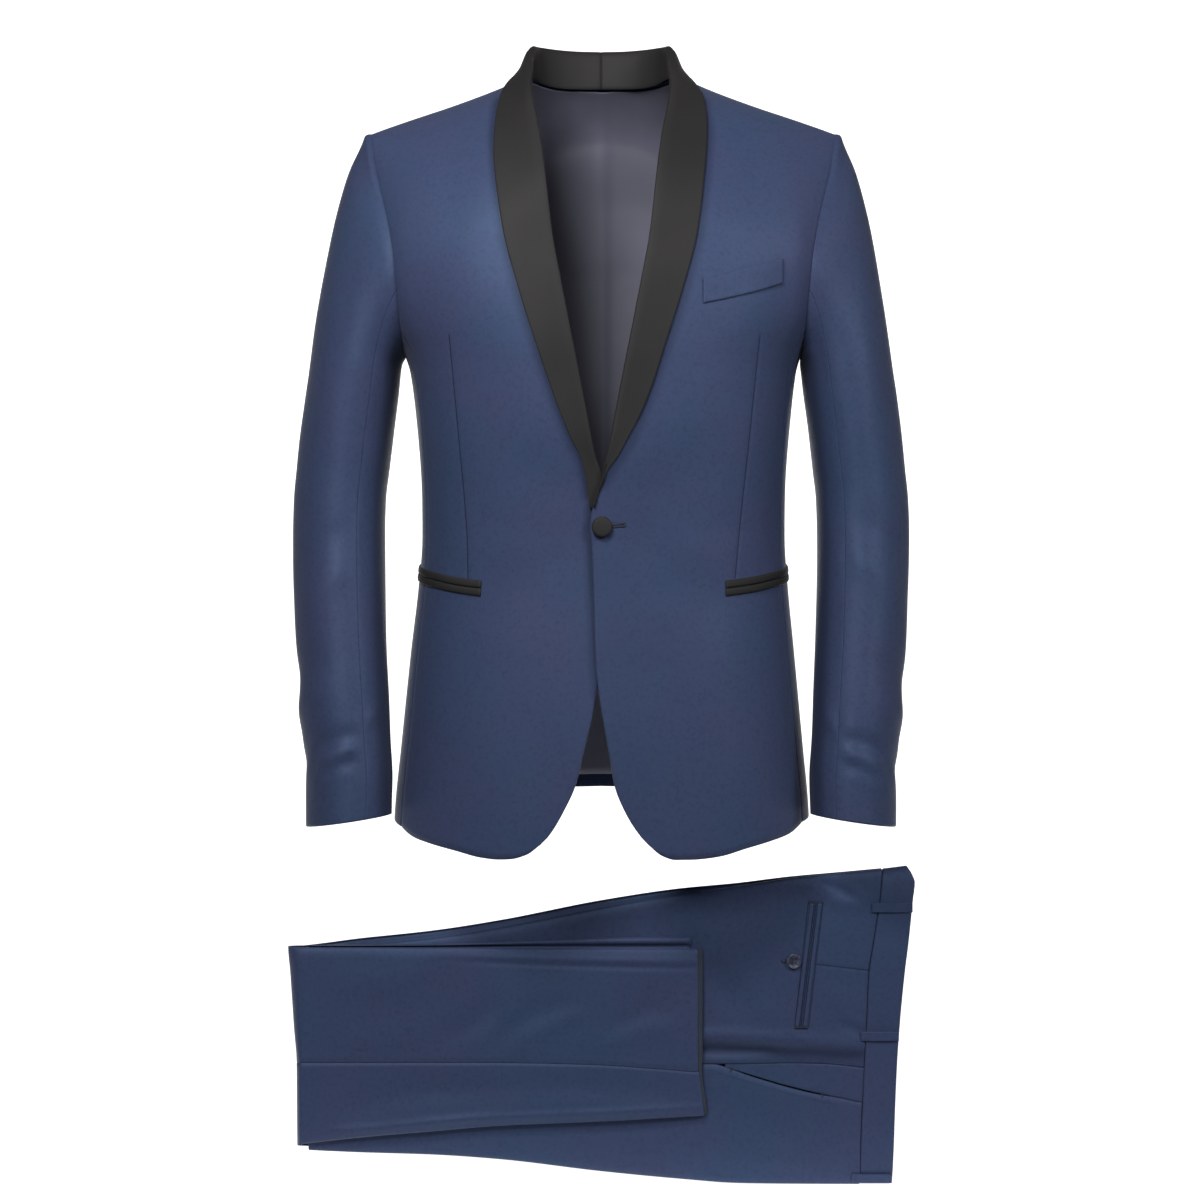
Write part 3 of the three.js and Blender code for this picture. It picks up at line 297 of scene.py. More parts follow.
# The jacket's form: a rounded body that turns over into the shoulder ridge at the top.
# It follows the form of the CAD solids, with front and back skins that meet at the ridge.
RIDGE = 4.0
ROUND = 2.4
TURN = 1.75
CENTRE_GAP = 0.15
torso = lines("z half front back centre", [
    (80, 245, 84, 112, 2), (-34, 245, 98, 112, 2), (-100, 240, 110, 118, 2), (-160, 236, 120, 119, 2),
    (-203, 224, 126, 116, 2), (-230, 212, 128, 113.5, 2), (-256, 198, 129, 111, 2),
    (-275, 192.5, 128.5, 109, 2.2), (-325, 187.5, 126, 102.5, 2.5), (-400, 182.8, 117, 93, 2.5),
    (-440, 182.2, 113.5, 90, 2.5), (-489, 185, 112.5, 94, 2.2), (-553, 191.5, 114.5, 103, 1.5),
    (-650, 201, 116.5, 113, 1), (-700, 206, 116, 114, 0.8), (-770, 210, 114, 114, 0.5),
])
shoulder = lines("reach z", [
    (0, 48), (30, 44), (50, 36.5), (67, 28.5), (87, 19), (105, 11), (149, -5.5), (197, -21.5), (232.5, -34),
    (262, -46),
])["z"]
armhole = lines("z reach", [
    (-34, 232.5), (-70, 226.7), (-93, 221), (-127, 212.6), (-162, 206), (-208, 201.4), (-234, 199.5),
    (-256, 198),
])["reach"]


def round_over(share):
    t = np.clip(share, 0, 1)
    return (1 - (1 - t) ** TURN) ** (1 / TURN)


def reach_of(side, width, z):
    return np.abs(width - side * torso["centre"](z))


def overlap(side, width, z):
    if side < 0:
        return 0 * width
    inward = 1 - smooth(width, 14, 58)
    below = 1 - 0.45 * smooth(-z, 440, 590) - 0.55 * smooth(-z, 590, 700)
    return 4.4 * inward * smooth(-z, 300, 378) * below


def front_skin(side, width, z):
    reach = reach_of(side, width, z)
    bulge = (1 - np.clip(reach / torso["half"](z), 0, 1) ** ROUND) ** (1 / ROUND)
    over = round_over((shoulder(reach) - z) / 150)
    y = RIDGE - CENTRE_GAP - (torso["front"](z) + RIDGE) * bulge * over - overlap(side, width, z)
    return points(side * width, y, z)


def back_skin(side, width, z):
    reach = reach_of(side, width, z)
    bulge = (1 - np.clip(reach / torso["half"](z), 0, 1) ** ROUND) ** (1 / ROUND)
    over = round_over((shoulder(reach) - z) / 80)
    y = RIDGE + CENTRE_GAP + (torso["back"](z) - RIDGE) * bulge * over
    return points(side * width, y, z)


def ring_skin(side, angle, z):
    turn = np.radians(angle)
    ratio = np.cos(turn) ** (2 / ROUND)
    bulge = np.abs(np.sin(turn)) ** (2 / ROUND)
    depth = np.where(angle < 0, -(torso["front"](z) + RIDGE), torso["back"](z) - RIDGE)
    return points(side * torso["half"](z) * ratio + torso["centre"](z), RIDGE + depth * bulge, z)


# Cloth from a grid of points: a thin shell with a rounded rim, its seam edges eased down a little.
# Its UV map is in metres along the cloth, so that the weave keeps one size and direction everywhere.
THICKNESS = 1.6


def square_to(grid, ring=False):
    if ring:
        across = np.roll(grid, -1, 1) - np.roll(grid, 1, 1)
    else:
        across = np.gradient(grid, axis=1)
    along = np.gradient(grid, axis=0)
    out = np.cross(across, along)
    return out / np.maximum(np.linalg.norm(out, axis=2, keepdims=True), 1e-9)


def edge_share(count):
    return np.minimum(np.arange(count), np.arange(count)[::-1])


def cloth(name, grid, towards, finish, rise=0.0, thick=THICKNESS, ease=0.45, ring=False, turned=False):
    rows, columns = grid.shape[:2]
    out = square_to(grid, ring)
    middle = out[rows // 2, columns // 2]
    flip = float(np.dot(middle, towards)) < 0
    out = -out if flip else out
    rise = np.broadcast_to(rise, (rows, columns))
    down = np.zeros((rows, columns))
    if not ring:
        down[:, edge_share(columns) == 0] = ease
    down[edge_share(rows) == 0, :] = ease
    outer = grid + out * (rise - down)[..., None]
    inner = grid + out * (rise - thick + down * 0.4)[..., None]
    index = np.arange(rows * columns).reshape(rows, columns)
    if ring:
        loops = [(index[0], index[1]), (index[-1][::-1], index[-2][::-1])]
    else:
        first = np.concatenate([index[0, :-1], index[:-1, -1], index[-1, :0:-1], index[:0:-1, 0]])
        inside = index[1:-1, 1:-1]
        near = np.clip(np.stack(np.unravel_index(first, (rows, columns)), 1), 1, [rows - 2, columns - 2])
        loops = [(first, index[near[:, 0], near[:, 1]])] if inside.size else [(first, first)]
    flat_outer = outer.reshape(-1, 3)
    flat_inner = inner.reshape(-1, 3)
    vertices = [flat_outer, flat_inner]
    total = 2 * rows * columns
    faces = []
    wrap = columns if ring else columns - 1
    a = index[:-1, :wrap]
    b = np.roll(index, -1, 1)[:-1, :wrap]
    c = np.roll(index, -1, 1)[1:, :wrap]
    d = index[1:, :wrap]
    quads = np.stack([a, b, c, d], -1).reshape(-1, 4)
    under = quads[:, ::-1] + rows * columns
    faces += [quads, under]
    for border, inward in loops:
        mean = (flat_outer[border] + flat_inner[border]) / 2
        away = flat_outer[border] - flat_outer[inward]
        away /= np.maximum(np.linalg.norm(away, axis=1, keepdims=True), 1e-6)
        vertices.append(mean + away * thick * 0.22)
        mid = total + np.arange(len(border))
        total += len(border)
        ahead = np.roll(np.arange(len(border)), -1)
        top, low = border, border + rows * columns
        faces.append(np.stack([top[ahead], top, mid, mid[ahead]], -1))
        faces.append(np.stack([mid[ahead], mid, low, low[ahead]], -1))
    faces = np.concatenate(faces)
    if flip:
        faces = faces[:, ::-1]
    return shell(name, np.concatenate(vertices), faces, grid, finish, turned)


def shell(name, vertices, faces, grid, finish, turned):
    mesh = bpy.data.meshes.new(name + "_cloth")
    mesh.from_pydata((vertices / 1000).tolist(), [], faces.tolist())
    rows, columns = grid.shape[:2]
    steps_across = np.linalg.norm(np.diff(grid, axis=1), axis=2)
    steps_along = np.linalg.norm(np.diff(grid, axis=0), axis=2)
    u = np.concatenate([np.zeros((rows, 1)), np.cumsum(steps_across, 1)], 1)
    v = np.concatenate([np.zeros((1, columns)), np.cumsum(steps_along, 0)], 0)
    u = (u - u[:, columns // 2][:, None]) / 1000
    v = (v - v[rows // 2][None, :]) / 1000
    flat = np.stack([v, u] if turned else [u, v], -1).reshape(-1, 2)
    extra = len(vertices) - 2 * len(flat)
    spare = np.zeros((extra, 2))
    layer = mesh.uv_layers.new(name="cloth")
    loop_vertex = np.zeros(len(mesh.loops), int)
    mesh.loops.foreach_get("vertex_index", loop_vertex)
    every = np.concatenate([flat, flat, spare])
    layer.data.foreach_set("uv", every[loop_vertex].ravel())
    mesh.polygons.foreach_set("use_smooth", np.ones(len(mesh.polygons), bool))
    mesh.materials.append(finish.material)
    mesh.validate()
    mesh.update()
    made = bpy.data.objects.new(name + "_cloth", mesh)
    scene.collection.objects.link(made)
    return made


def finished(piece, slot, *nodes):
    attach(piece, "root")
    if nodes:
        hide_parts(*nodes)
    return piece


# Folds are listed: each row is a soft ridge, or a trough where its height is negative.
# A fold runs between two places on the cloth, bows sideways in the middle and fades at its ends.
def folds(a, b, rows):
    total = np.zeros(np.broadcast(a, b).shape)
    for from_a, from_b, to_a, to_b, width, height, bow in rows:
        step_a, step_b = to_a - from_a, to_b - from_b
        long = math.hypot(step_a, step_b)
        share = ((a - from_a) * step_a + (b - from_b) * step_b) / long**2
        aside = ((a - from_a) * step_b - (b - from_b) * step_a) / long
        aside = aside - bow * 4 * share * (1 - share)
        ends = smooth(share, -0.3, 0.25) * (1 - smooth(share, 0.75, 1.3))
        total = total + height * np.exp(-((aside / width) ** 2)) * ends
    return total


def unevenness(a, b, size, seed):
    phase = seed * 1.7
    broad = np.sin(a / 37 + phase) * np.cos(b / 53 - phase * 0.6)
    broad = broad + 0.6 * np.sin((a + 0.7 * b) / 61 + phase * 2)
    return size * (broad + 0.5 * np.sin(a / 19 - b / 23 + phase * 3)) / 2


# Worsted wool: a fine diagonal twill on the cloth's own grain, with slow changes between two blues.
# Darts and seams are dark pressed lines, and so are lines of painted shade in slits and beside welts.
# Painted shade also darkens broader places. All are polylines of (x, z) in millimetres.
def wool(name, deep, violet, teal, seams_and_shade_lines=(), painted_shade=()):
    finish = Finish(name, 0.5, Specular_IOR_Level=0.3, Sheen_Weight=0.04)
    finish.surface.inputs["Specular Tint"].default_value = linear(170, 195, 235)
    u, v, _ = finish.axes(finish.cloth_place())
    twill = ((u + v * 0.8) * 5200).math("SINE")
    weft = ((v - u * 0.25) * 7600).math("SINE")
    place = finish.place()
    fuzz = finish.noise(place, 900, 3, 0.6)
    slow = finish.noise(place, 9, 3, 0.55)
    heather = finish.noise(place, 240, 2, 0.7)
    tone = finish.mix(slow.step(0.28, 0.74), violet, teal)
    tone = finish.mix(heather.step(0.42, 0.75) * 0.3 + twill.step(0.2, 1.0) * 0.08, tone, deep)
    height = twill * 0.5 + weft * 0.22 + fuzz * 0.9
    weave = finish.bump(height, 0.28, 0.00012)
    if seams_and_shade_lines or painted_shade:
        x, _, z = finish.axes(place)
    # Painted shade: near these lines the colour is darkened towards the deep blue, as a shadow would.
    if painted_shade:
        tone = finish.mix(finish.nearness(x, z, painted_shade, 0.011) * 0.75, tone, deep)
    # Thin dark lines: real darts and seams, and painted shade in slits and beside welts.
    if seams_and_shade_lines:
        line = finish.nearness(x, z, seams_and_shade_lines, 0.0011)
        tone = finish.mix(line * 0.8, tone, linear(18, 22, 36))
        pressed = finish.nearness(x, z, seams_and_shade_lines, 0.004)
        weave = finish.bump(1 - pressed, 0.35, 0.0009, under=weave)
    finish.feed("Normal", weave)
    finish.feed("Base Color", tone)
    finish.feed("Roughness", 0.44 + heather * 0.1)
    return finish


NAVY = (linear(33, 39, 60), linear(53, 59, 87), linear(48, 61, 88))
JACKET_WOOL = wool("jacket_wool", *NAVY)


# Fronts: each runs from the front edge and roll line to the armhole and side seam.
# The lower corner is rounded away, and the left front lies over the right one.
SHOULDER_POINT = -34.0
SIDE_SEAM_TOP = -210
ARMPIT = -256
BREAK = -382
FRONT_SEAM = 0.955
BACK_SEAM = 0.93
front_edge = lines("z over under", [
    (-382, 1.5, 1.5), (-403, -5.8, -7), (-428, -10.2, -12), (-447, -8.7, -11), (-500, -6.8, -8),
    (-560, -5, -2), (-592, -1.8, 5.2), (-620, 2.8, 10.1), (-650, 8.2, 17.6), (-680, 13.3, 25),
    (-704, 22.8, 36), (-728, 37.7, 50.3), (-737, 46, 59),
])
front_hem = lines("reach over under", [
    (46, -737, -727), (59, -747.5, -737), (72, -751.5, -746.5), (88, -751.5, -751), (100, -750.8, -751.5),
    (117, -748.6, -749.9), (141, -742, -744.2), (168, -735, -737.8), (185, -729.5, -732.5),
    (197, -721, -724), (203, -714, -716),
])
lapel = lines("z roll over under rise", [
    (-412, 5.5, 10.7, 10.7, 2.2), (-397, 3.4, 12.5, 12.5, 2.2), (-382, 1, 3.5, 14.8, 2.4),
    (-364, 4.5, 14.5, 18.8, 3), (-348, 8, 23.3, 27, 3.6), (-309, 15.3, 43, 43, 4.2),
    (-257, 25.5, 60.2, 61, 4.6), (-198, 37, 79, 79.8, 4.6), (-147, 46.5, 92.3, 93.5, 4.6),
    (-112, 50.7, 97.2, 99.3, 4.6), (-88, 53.2, 99.6, 102.4, 5), (-59, 56.6, 102.4, 104.7, 5.6),
    (-32, 61, 103.5, 103.5, 6.4), (-8, 65.4, 101.5, 100.5, 7.4), (30, 69.5, 90, 90, 8),
])


def side_edge(side, seam, z):
    below = np.where(z > SIDE_SEAM_TOP, 1e6, seam * torso["half"](z))
    return side * torso["centre"](z) + np.minimum(armhole(np.maximum(z, ARMPIT)), below)


def shares(count, *, power=1.0, lip=0.004):
    inner = np.linspace(0, 1, count) ** power
    return np.concatenate([[0, lip], inner[1:-1], [1 - lip, 1]])


def filled(u, v, inner, outer, bottom, top):
    u, v = np.meshgrid(u, v)
    ends = lambda edge, t: np.array([float(part) for part in edge(np.float64(t))])
    a, b, c, d = ends(inner, 0), ends(outer, 0), ends(inner, 1), ends(outer, 1)
    place = []
    for k in range(2):
        sides = inner(v)[k] * (1 - u) + outer(v)[k] * u
        across = bottom(u)[k] * (1 - v) + top(u)[k] * v
        corners = (a[k] * (1 - u) + b[k] * u) * (1 - v) + (c[k] * (1 - u) + d[k] * u) * v
        place.append(sides + across - corners)
    return place


def front_corner(side, layer):
    width = side_edge(side, FRONT_SEAM, -718.0)
    return width, front_hem[layer](width)


# Darts from chest to pocket, painted shade in the buttonhole's slit, and painted shadow where the lapels and
# the upper front would throw it.
LEFT_DARTS_AND_SLIT_SHADE = [
    [(154.5, -242.5), (143.1, -354), (136, -420), (130.5, -478.6)],
    [(9, -428), (20.5, -426.8)], [(9, -429.2), (20.5, -428)],
]
RIGHT_DARTS = [[(-147.7, -242.6), (-132.9, -402.6), (-130.3, -439.6), (-129.6, -479.5)]]
LAPEL_EDGE = [(28, -348), (44, -309), (62, -257), (81, -198), (94, -147), (101, -90), (105, -45), (102, -8)]
LEFT_SHADE = [[(2, -387), (11, -373), *LAPEL_EDGE]]
UNDER_EDGE = [(-7, -400), (-11, -428), (-9.5, -447), (-7.5, -500), (-5.5, -560), (-2.5, -592)]
RIGHT_SHADE = [[(-13, -399), (-15, -382), (-20, -364), *[(-x, z) for x, z in LAPEL_EDGE]], UNDER_EDGE]
LEFT_FRONT_WOOL = wool("left_front_wool", *NAVY, LEFT_DARTS_AND_SLIT_SHADE, LEFT_SHADE)
RIGHT_FRONT_WOOL = wool("right_front_wool", *NAVY, RIGHT_DARTS, RIGHT_SHADE)

# Soft drag lines: from the button, over the hip pockets, and down from the shoulders.
front_folds = {
    1: [
        (30, -405, 120, -330, 26, -0.9, 10), (25, -440, 110, -520, 24, -0.8, -8),
        (70, -445, 150, -455, 20, 0.8, 3), (150, -60, 176, -220, 22, -1.3, 6),
        (196, -120, 186, -250, 12, 1.5, -4), (120, -540, 150, -700, 30, 1.1, 8),
        (60, -560, 78, -720, 26, -0.9, -4), (172, -300, 176, -450, 11, -0.9, 2),
    ],
    -1: [
        (28, -400, 112, -322, 26, -0.9, 9), (28, -446, 118, -515, 26, -0.9, -10),
        (64, -452, 146, -448, 20, 0.7, -3), (146, -66, 172, -230, 22, -1.2, 6),
        (198, -112, 187, -246, 12, 1.6, -4), (112, -560, 140, -706, 30, 1.0, 6),
        (50, -540, 70, -710, 24, -0.8, -4), (170, -320, 176, -470, 11, -0.9, 2),
    ],
}


def front(side, name):
    layer = "over" if side > 0 else "under"
    corner_x, corner_z = (46.0, -737.0) if side > 0 else (59.0, -737.0)
    hem_x, hem_z = front_corner(side, layer)
    neck_z = shoulder(70 - side * 2)
    roll_x = lapel["roll"](neck_z) + 2.2
    top_x = side_edge(side, FRONT_SEAM, SHOULDER_POINT)

    def inner(v):
        z = mix(corner_z, neck_z, v)
        above = lapel["roll"](z) + 2.2
        return np.where(z > BREAK, above, front_edge[layer](z)), z

    def outer(v):
        z = mix(hem_z, SHOULDER_POINT, v)
        return side_edge(side, FRONT_SEAM, z), z

    def bottom(u):
        width = mix(corner_x, hem_x, u)
        return width, front_hem[layer](width)

    def top(u):
        width = mix(roll_x, top_x, u)
        return width, shoulder(reach_of(side, width, SHOULDER_POINT))

    rows = 1 - shares(150, power=1.35, lip=0.0006)[::-1]
    width, z = filled(shares(58), rows, inner, outer, bottom, top)
    grid = front_skin(side, width, z)
    lift = folds(width, z, front_folds[side]) + unevenness(width, z, 0.5, 2 + side)
    fade = smooth(shoulder(reach_of(side, width, z)) - z, 4, 60) * smooth(width, -20, 30)
    grid[..., 1] -= lift * fade
    finish = LEFT_FRONT_WOOL if side > 0 else RIGHT_FRONT_WOOL
    return finished(cloth(name, grid, (side * 0.3, -1, 0), finish), "jacket_wool", name)


front_left = front(1, "front_left")
front_right = front(-1, "front_right")

# Backs: from the centre back seam to the armhole and side seam, easing in at the waist.
# Shallow folds run from the shoulder blades and gather a little above the hem.
back_hem = lines("reach z", [(0, -692), (60, -693.5), (120, -699), (170, -705), (200, -709)])["z"]
back_neck = lines("reach z", [(0, 24), (25, 23.5), (45, 23), (60, 24), (72, 26.1), (75, 60)])["z"]
back_folds = [
    (120, -60, 176, -210, 24, -1.8, 8), (190, -110, 182, -250, 14, 1.8, -4),
    (40, -20, 95, -70, 20, -1.2, 6), (40, -400, 150, -420, 24, -1.6, 6), (30, -440, 140, -452, 18, 1.3, -4),
    (60, -520, 90, -680, 30, 1.6, 6), (130, -540, 150, -690, 26, -1.5, 5),
]


def back_corner(side):
    return side_edge(side, BACK_SEAM, -708.0), back_hem(BACK_SEAM * torso["half"](-708.0))


def back(side, name):
    hem_x, hem_z = back_corner(side)
    top_of = lambda reach: np.minimum(back_neck(reach), shoulder(reach))
    centre_x = lambda z: side * torso["centre"](z) + CENTRE_GAP
    top_x = side_edge(side, BACK_SEAM, SHOULDER_POINT)

    def inner(v):
        z = mix(back_hem(0.0), top_of(0.0), v)
        return centre_x(z), z

    def outer(v):
        z = mix(hem_z, SHOULDER_POINT, v)
        return side_edge(side, BACK_SEAM, z), z

    def bottom(u):
        width = mix(centre_x(back_hem(0.0)), hem_x, u)
        return width, back_hem(reach_of(side, width, hem_z))

    def top(u):
        width = mix(centre_x(top_of(0.0)), top_x, u)
        return width, top_of(reach_of(side, width, SHOULDER_POINT))

    rows = 1 - shares(130, power=1.3, lip=0.0008)[::-1]
    width, z = filled(shares(56), rows, inner, outer, bottom, top)
    grid = back_skin(side, width, z)
    lift = folds(width, z, back_folds) * (1.0 if side > 0 else 0.85) + unevenness(width, z, 0.6, 5 + side)
    fade = smooth(shoulder(reach_of(side, width, z)) - z, 4, 50) * smooth(width, 0, 25)
    grid[..., 1] += lift * fade
    return finished(cloth(name, grid, (side * 0.3, 1, 0), JACKET_WOOL), "jacket_wool", name)


back_left = back(1, "back_left")
back_right = back(-1, "back_right")


# Side panels: under the arm, between the front and back side seams, with their edges under both.
# They are cut smooth, with one long soft fold where the waist nips in.
SEAM_ALLOWANCE = 0.9


def ring_angle(ratio):
    return math.degrees(math.acos(ratio ** (ROUND / 2)))


armhole_z = np.linspace(ARMPIT, -205, 120)
armhole_ratio = armhole(armhole_z) / torso["half"](armhole_z)


def side_panel(side, name):
    start = -ring_angle(FRONT_SEAM) - SEAM_ALLOWANCE
    end = ring_angle(BACK_SEAM) + SEAM_ALLOWANCE
    layer = "over" if side > 0 else "under"
    hem_from, hem_to = front_corner(side, layer)[1], back_corner(side)[1]
    sides = np.array([0, 0.008, 0.018, 0.028, 0.038, 0.05])
    across = np.concatenate([sides, np.linspace(0.08, 0.92, 28), 1 - sides[::-1]])
    u, v = np.meshgrid(across, shares(90, lip=0.002))
    angle = mix(start, end, u)
    ratio = np.cos(np.radians(angle)) ** (2 / ROUND)
    top = np.interp(-ratio, -armhole_ratio, armhole_z) + 1.0
    z = mix(mix(hem_from, hem_to, u), top, v)
    grid = ring_skin(side, angle, z)
    lift = folds(angle, z, [(-8, -300, 4, -480, 9, -1.6, 0), (14, -470, 10, -690, 9, 1.4, 0)])
    grid[..., 0] += side * lift * smooth(np.minimum(angle - start, end - angle), 0, 8)
    under = 1.0 * (1 - smooth(np.minimum(angle - start, end - angle), 0.7, 1.6))
    piece = cloth(name, grid, (side, 0, 0), JACKET_WOOL, rise=-under, ease=0.1)
    finished(piece, "jacket_wool", name)


side_panel(1, "side_panel_left")
side_panel(-1, "side_panel_right")

# Two-piece sleeves: the wider top sleeve and the under sleeve, set into the armhole.
# The head rolls gently over the seam, and soft folds cross the elbow and forearm.
sleeve = lines("z centre y half depth", [
    (-270, 245.3, 0, 45.9, 66), (-300, 249.2, -1, 46.6, 63.5), (-332, 253.4, -2, 46.6, 61),
    (-370, 257.4, -4, 46.2, 58.5), (-400, 260.3, -7, 45.8, 56.5), (-430, 261, -11, 45.8, 55),
    (-460, 260.7, -16, 45.7, 53.5), (-500, 259.4, -23, 45.2, 52), (-540, 257.6, -30, 44.8, 50.5),
    (-596, 253.6, -40, 44, 49), (-640, 250.6, -47, 43, 48), (-683, 247.8, -53, 42.8, 47),
    (-722, 248, -57, 42, 46.5),
])
# The sleeves' navy is a darker copy of the jacket's, as painted shade, with painted shade along each arm's
# inner side.
SHADED_SLEEVE_NAVY = (linear(29, 35, 54), linear(50, 56, 83), linear(45, 58, 84))
INNER_ARM = [
    (205, -262), (209, -300), (217, -380), (219, -440), (218, -520), (214, -596), (210, -660), (210, -716),
]
SLEEVE_WOOL = wool("sleeve_wool", *SHADED_SLEEVE_NAVY, (), [[(k * x, z) for x, z in INNER_ARM] for k in (1, -1)])
ARM_RADIUS = 46
ARM_OVERLAP = 0.7
CAP_SHARE = 0.3
CAP_END = -270.0
CUFF = -716.0
sleeve_folds = {
    1: [
        (40, -600, -40, -650, 13, 2.2, 5), (60, -640, -30, -690, 11, -1.9, 4),
        (50, -560, -20, -600, 14, -1.5, 5), (80, -420, 20, -470, 16, -1.6, 6),
        (90, -460, 30, -505, 14, 1.5, 5), (-80, -430, -20, -500, 18, -1.4, 6),
        (55, -150, 75, -300, 16, -1.6, 4), (-50, -120, -80, -300, 18, -1.6, -4),
        (10, -90, 14, -240, 22, 1.2, 2), (94, -634, 42, -650, 7, -1.9, 3), (90, -648, 46, -663, 7, 2.2, 2),
        (86, -660, 50, -676, 6, -1.7, 2), (72, -668, 30, -688, 8, 1.3, 2),
        (112, -610, 84, -628, 8, 1.4, -2),
    ],
    -1: [
        (46, -590, -36, -644, 13, 2.3, 5), (58, -632, -26, -682, 12, -2.1, 4),
        (52, -552, -16, -590, 14, -1.5, 5), (84, -430, 24, -476, 16, -1.7, 6),
        (88, -470, 36, -512, 14, 1.5, 5), (-76, -440, -24, -506, 18, -1.4, 6),
        (50, -156, 72, -306, 16, -1.7, 4), (-48, -126, -84, -296, 18, -1.6, -4),
        (14, -96, 12, -250, 22, 1.2, 2), (92, -630, 40, -646, 7, -1.9, 3), (88, -644, 45, -659, 7, 2.3, 2),
        (86, -656, 50, -671, 6, -1.8, 2), (70, -664, 30, -684, 8, 1.3, 2),
        (114, -606, 86, -622, 8, 1.3, -2),
    ],
}


def sleeve_ring(turn, z, tilt):
    x = sleeve["centre"](z) + sleeve["half"](z) * np.cos(turn)
    y = sleeve["y"](z) - sleeve["depth"](z) * np.sin(turn)
    return points(x, y, z - 6 * np.cos(turn) * tilt)


def sleeve_form(side, angle, v):
    turn = np.radians(angle)
    share = np.clip((v - CAP_SHARE) / (1 - CAP_SHARE), 0, 1)
    arm = sleeve_ring(turn, mix(CAP_END, CUFF, share), share**3)
    z = mix(ARMPIT, SHOULDER_POINT, (1 + np.cos(turn)) / 2)
    width = side * torso["centre"](z) + armhole(z)
    ahead = front_skin(side, width, z)[..., 1]
    behind = back_skin(side, width, z)[..., 1]
    start = points(width - ARM_OVERLAP, np.where(np.sin(turn) > 0, ahead, behind), z)
    end = sleeve_ring(turn, CAP_END + 0 * turn, 0)
    outward = (1 + np.cos(turn)) / 2
    leaving = start + points(1 + 20 * outward, -4 * np.sin(turn), -4 - 4 * np.sin(turn) ** 2)
    rise = 0.58 * (start[..., 2] - end[..., 2])
    arriving = end + points(-0.15 * rise, 0 * rise, rise)
    t = np.clip(v / CAP_SHARE, 0, 1)[..., None]
    cap = start * (1 - t) ** 3 + 3 * leaving * t * (1 - t) ** 2 + 3 * arriving * t**2 * (1 - t) + end * t**3
    grid = np.where(v[..., None] < CAP_SHARE, cap, arm)
    grid[..., 0] *= side
    return grid


def sleeve_piece(side, name, start, end, columns):
    head = shares(60, power=1.25, lip=0.004)[:-2] * CAP_SHARE
    arm = mix(CAP_SHARE, 1, shares(96))[2:]
    u, v = np.meshgrid(shares(columns, lip=0.006), np.concatenate([head, arm]))
    angle = mix(start, end, u)
    middle = math.radians((start + end) / 2)
    grid = sleeve_form(side, angle, v)
    out = square_to(grid)
    if out[len(v) // 2, columns // 2, 0] * side * math.cos(middle) < 0:
        out = -out
    round_the_arm = np.radians(angle) * ARM_RADIUS
    z = grid[..., 2]
    lift = folds(round_the_arm, z, sleeve_folds[side]) + unevenness(round_the_arm, z, 0.7, 8 + side)
    lift = lift * smooth(v, 0.06, 0.2) * (1 - smooth(v, 0.97, 1.0)) * smooth(np.minimum(u, 1 - u), 0, 0.08)
    outward = np.cos(np.radians(angle))
    roll = 1.8 * np.exp(-(((v - 0.022) / 0.016) ** 2)) * smooth(outward, 0.3, 0.95)
    dip = -1.6 * np.exp(-(((v - 0.07) / 0.03) ** 2)) * smooth(outward, 0.4, 0.95)
    grid = grid + out * (lift + roll + dip)[..., None]
    towards = (side * math.cos(middle), -math.sin(middle), 0)
    piece = cloth(name, grid, towards, SLEEVE_WOOL, ease=0.05)
    finished(piece, "jacket_wool", name)


for side, word in ((1, "left"), (-1, "right")):
    sleeve_piece(side, "top_sleeve_" + word, -129.8, 118, 72)
    sleeve_piece(side, "under_sleeve_" + word, 118, 229.8, 34)

# Satin: smooth, with a soft warm sheen, faint floats across its width and a slight waviness.
# The collar and jets are black. The lining is made the same way, in grey that is painted paler towards the
# hem as painted light.
def satin(name, deep, light, roughness, waviness, low=None):
    finish = Finish(name, roughness, Sheen_Weight=0.06, Sheen_Roughness=0.3, Specular_IOR_Level=0.2)
    finish.surface.inputs["Sheen Tint"].default_value = linear(200, 190, 180)
    grain = finish.cloth_place()
    u, v, _ = finish.axes(grain)
    floats = (v * 9000 + (u * 700).math("SINE") * 0.4).math("SINE")
    slubs = finish.noise(finish.make("ShaderNodeMapping", {0: grain, 3: (30.0, 900.0, 1.0)}), 1.0, 2, 0.6)
    slow = finish.noise(finish.place(), 9, 2, 0.5)
    tone = finish.mix(slow.step(0.3, 0.75) * 0.7 + slubs * 0.3, deep, light)
    # Painted light: below the waist the colour is mixed towards the paler grey.
    if low:
        tone = finish.mix(1 - finish.axes(finish.place())[2].step(-0.56, -0.4), tone, low)
    finish.feed("Base Color", tone)
    finish.feed("Roughness", roughness + slubs * 0.12)
    fine = finish.bump(floats * 0.4 + slubs * 0.8, 0.2, 0.00008)
    waves = finish.noise(finish.place(), 26, 1, 0.4)
    finish.feed("Normal", finish.bump(waves, waviness, 0.002, under=fine))
    return finish


BLACK_SATIN = satin("black_satin", linear(29, 28, 29), linear(38, 36, 37), 0.6, 0.1)


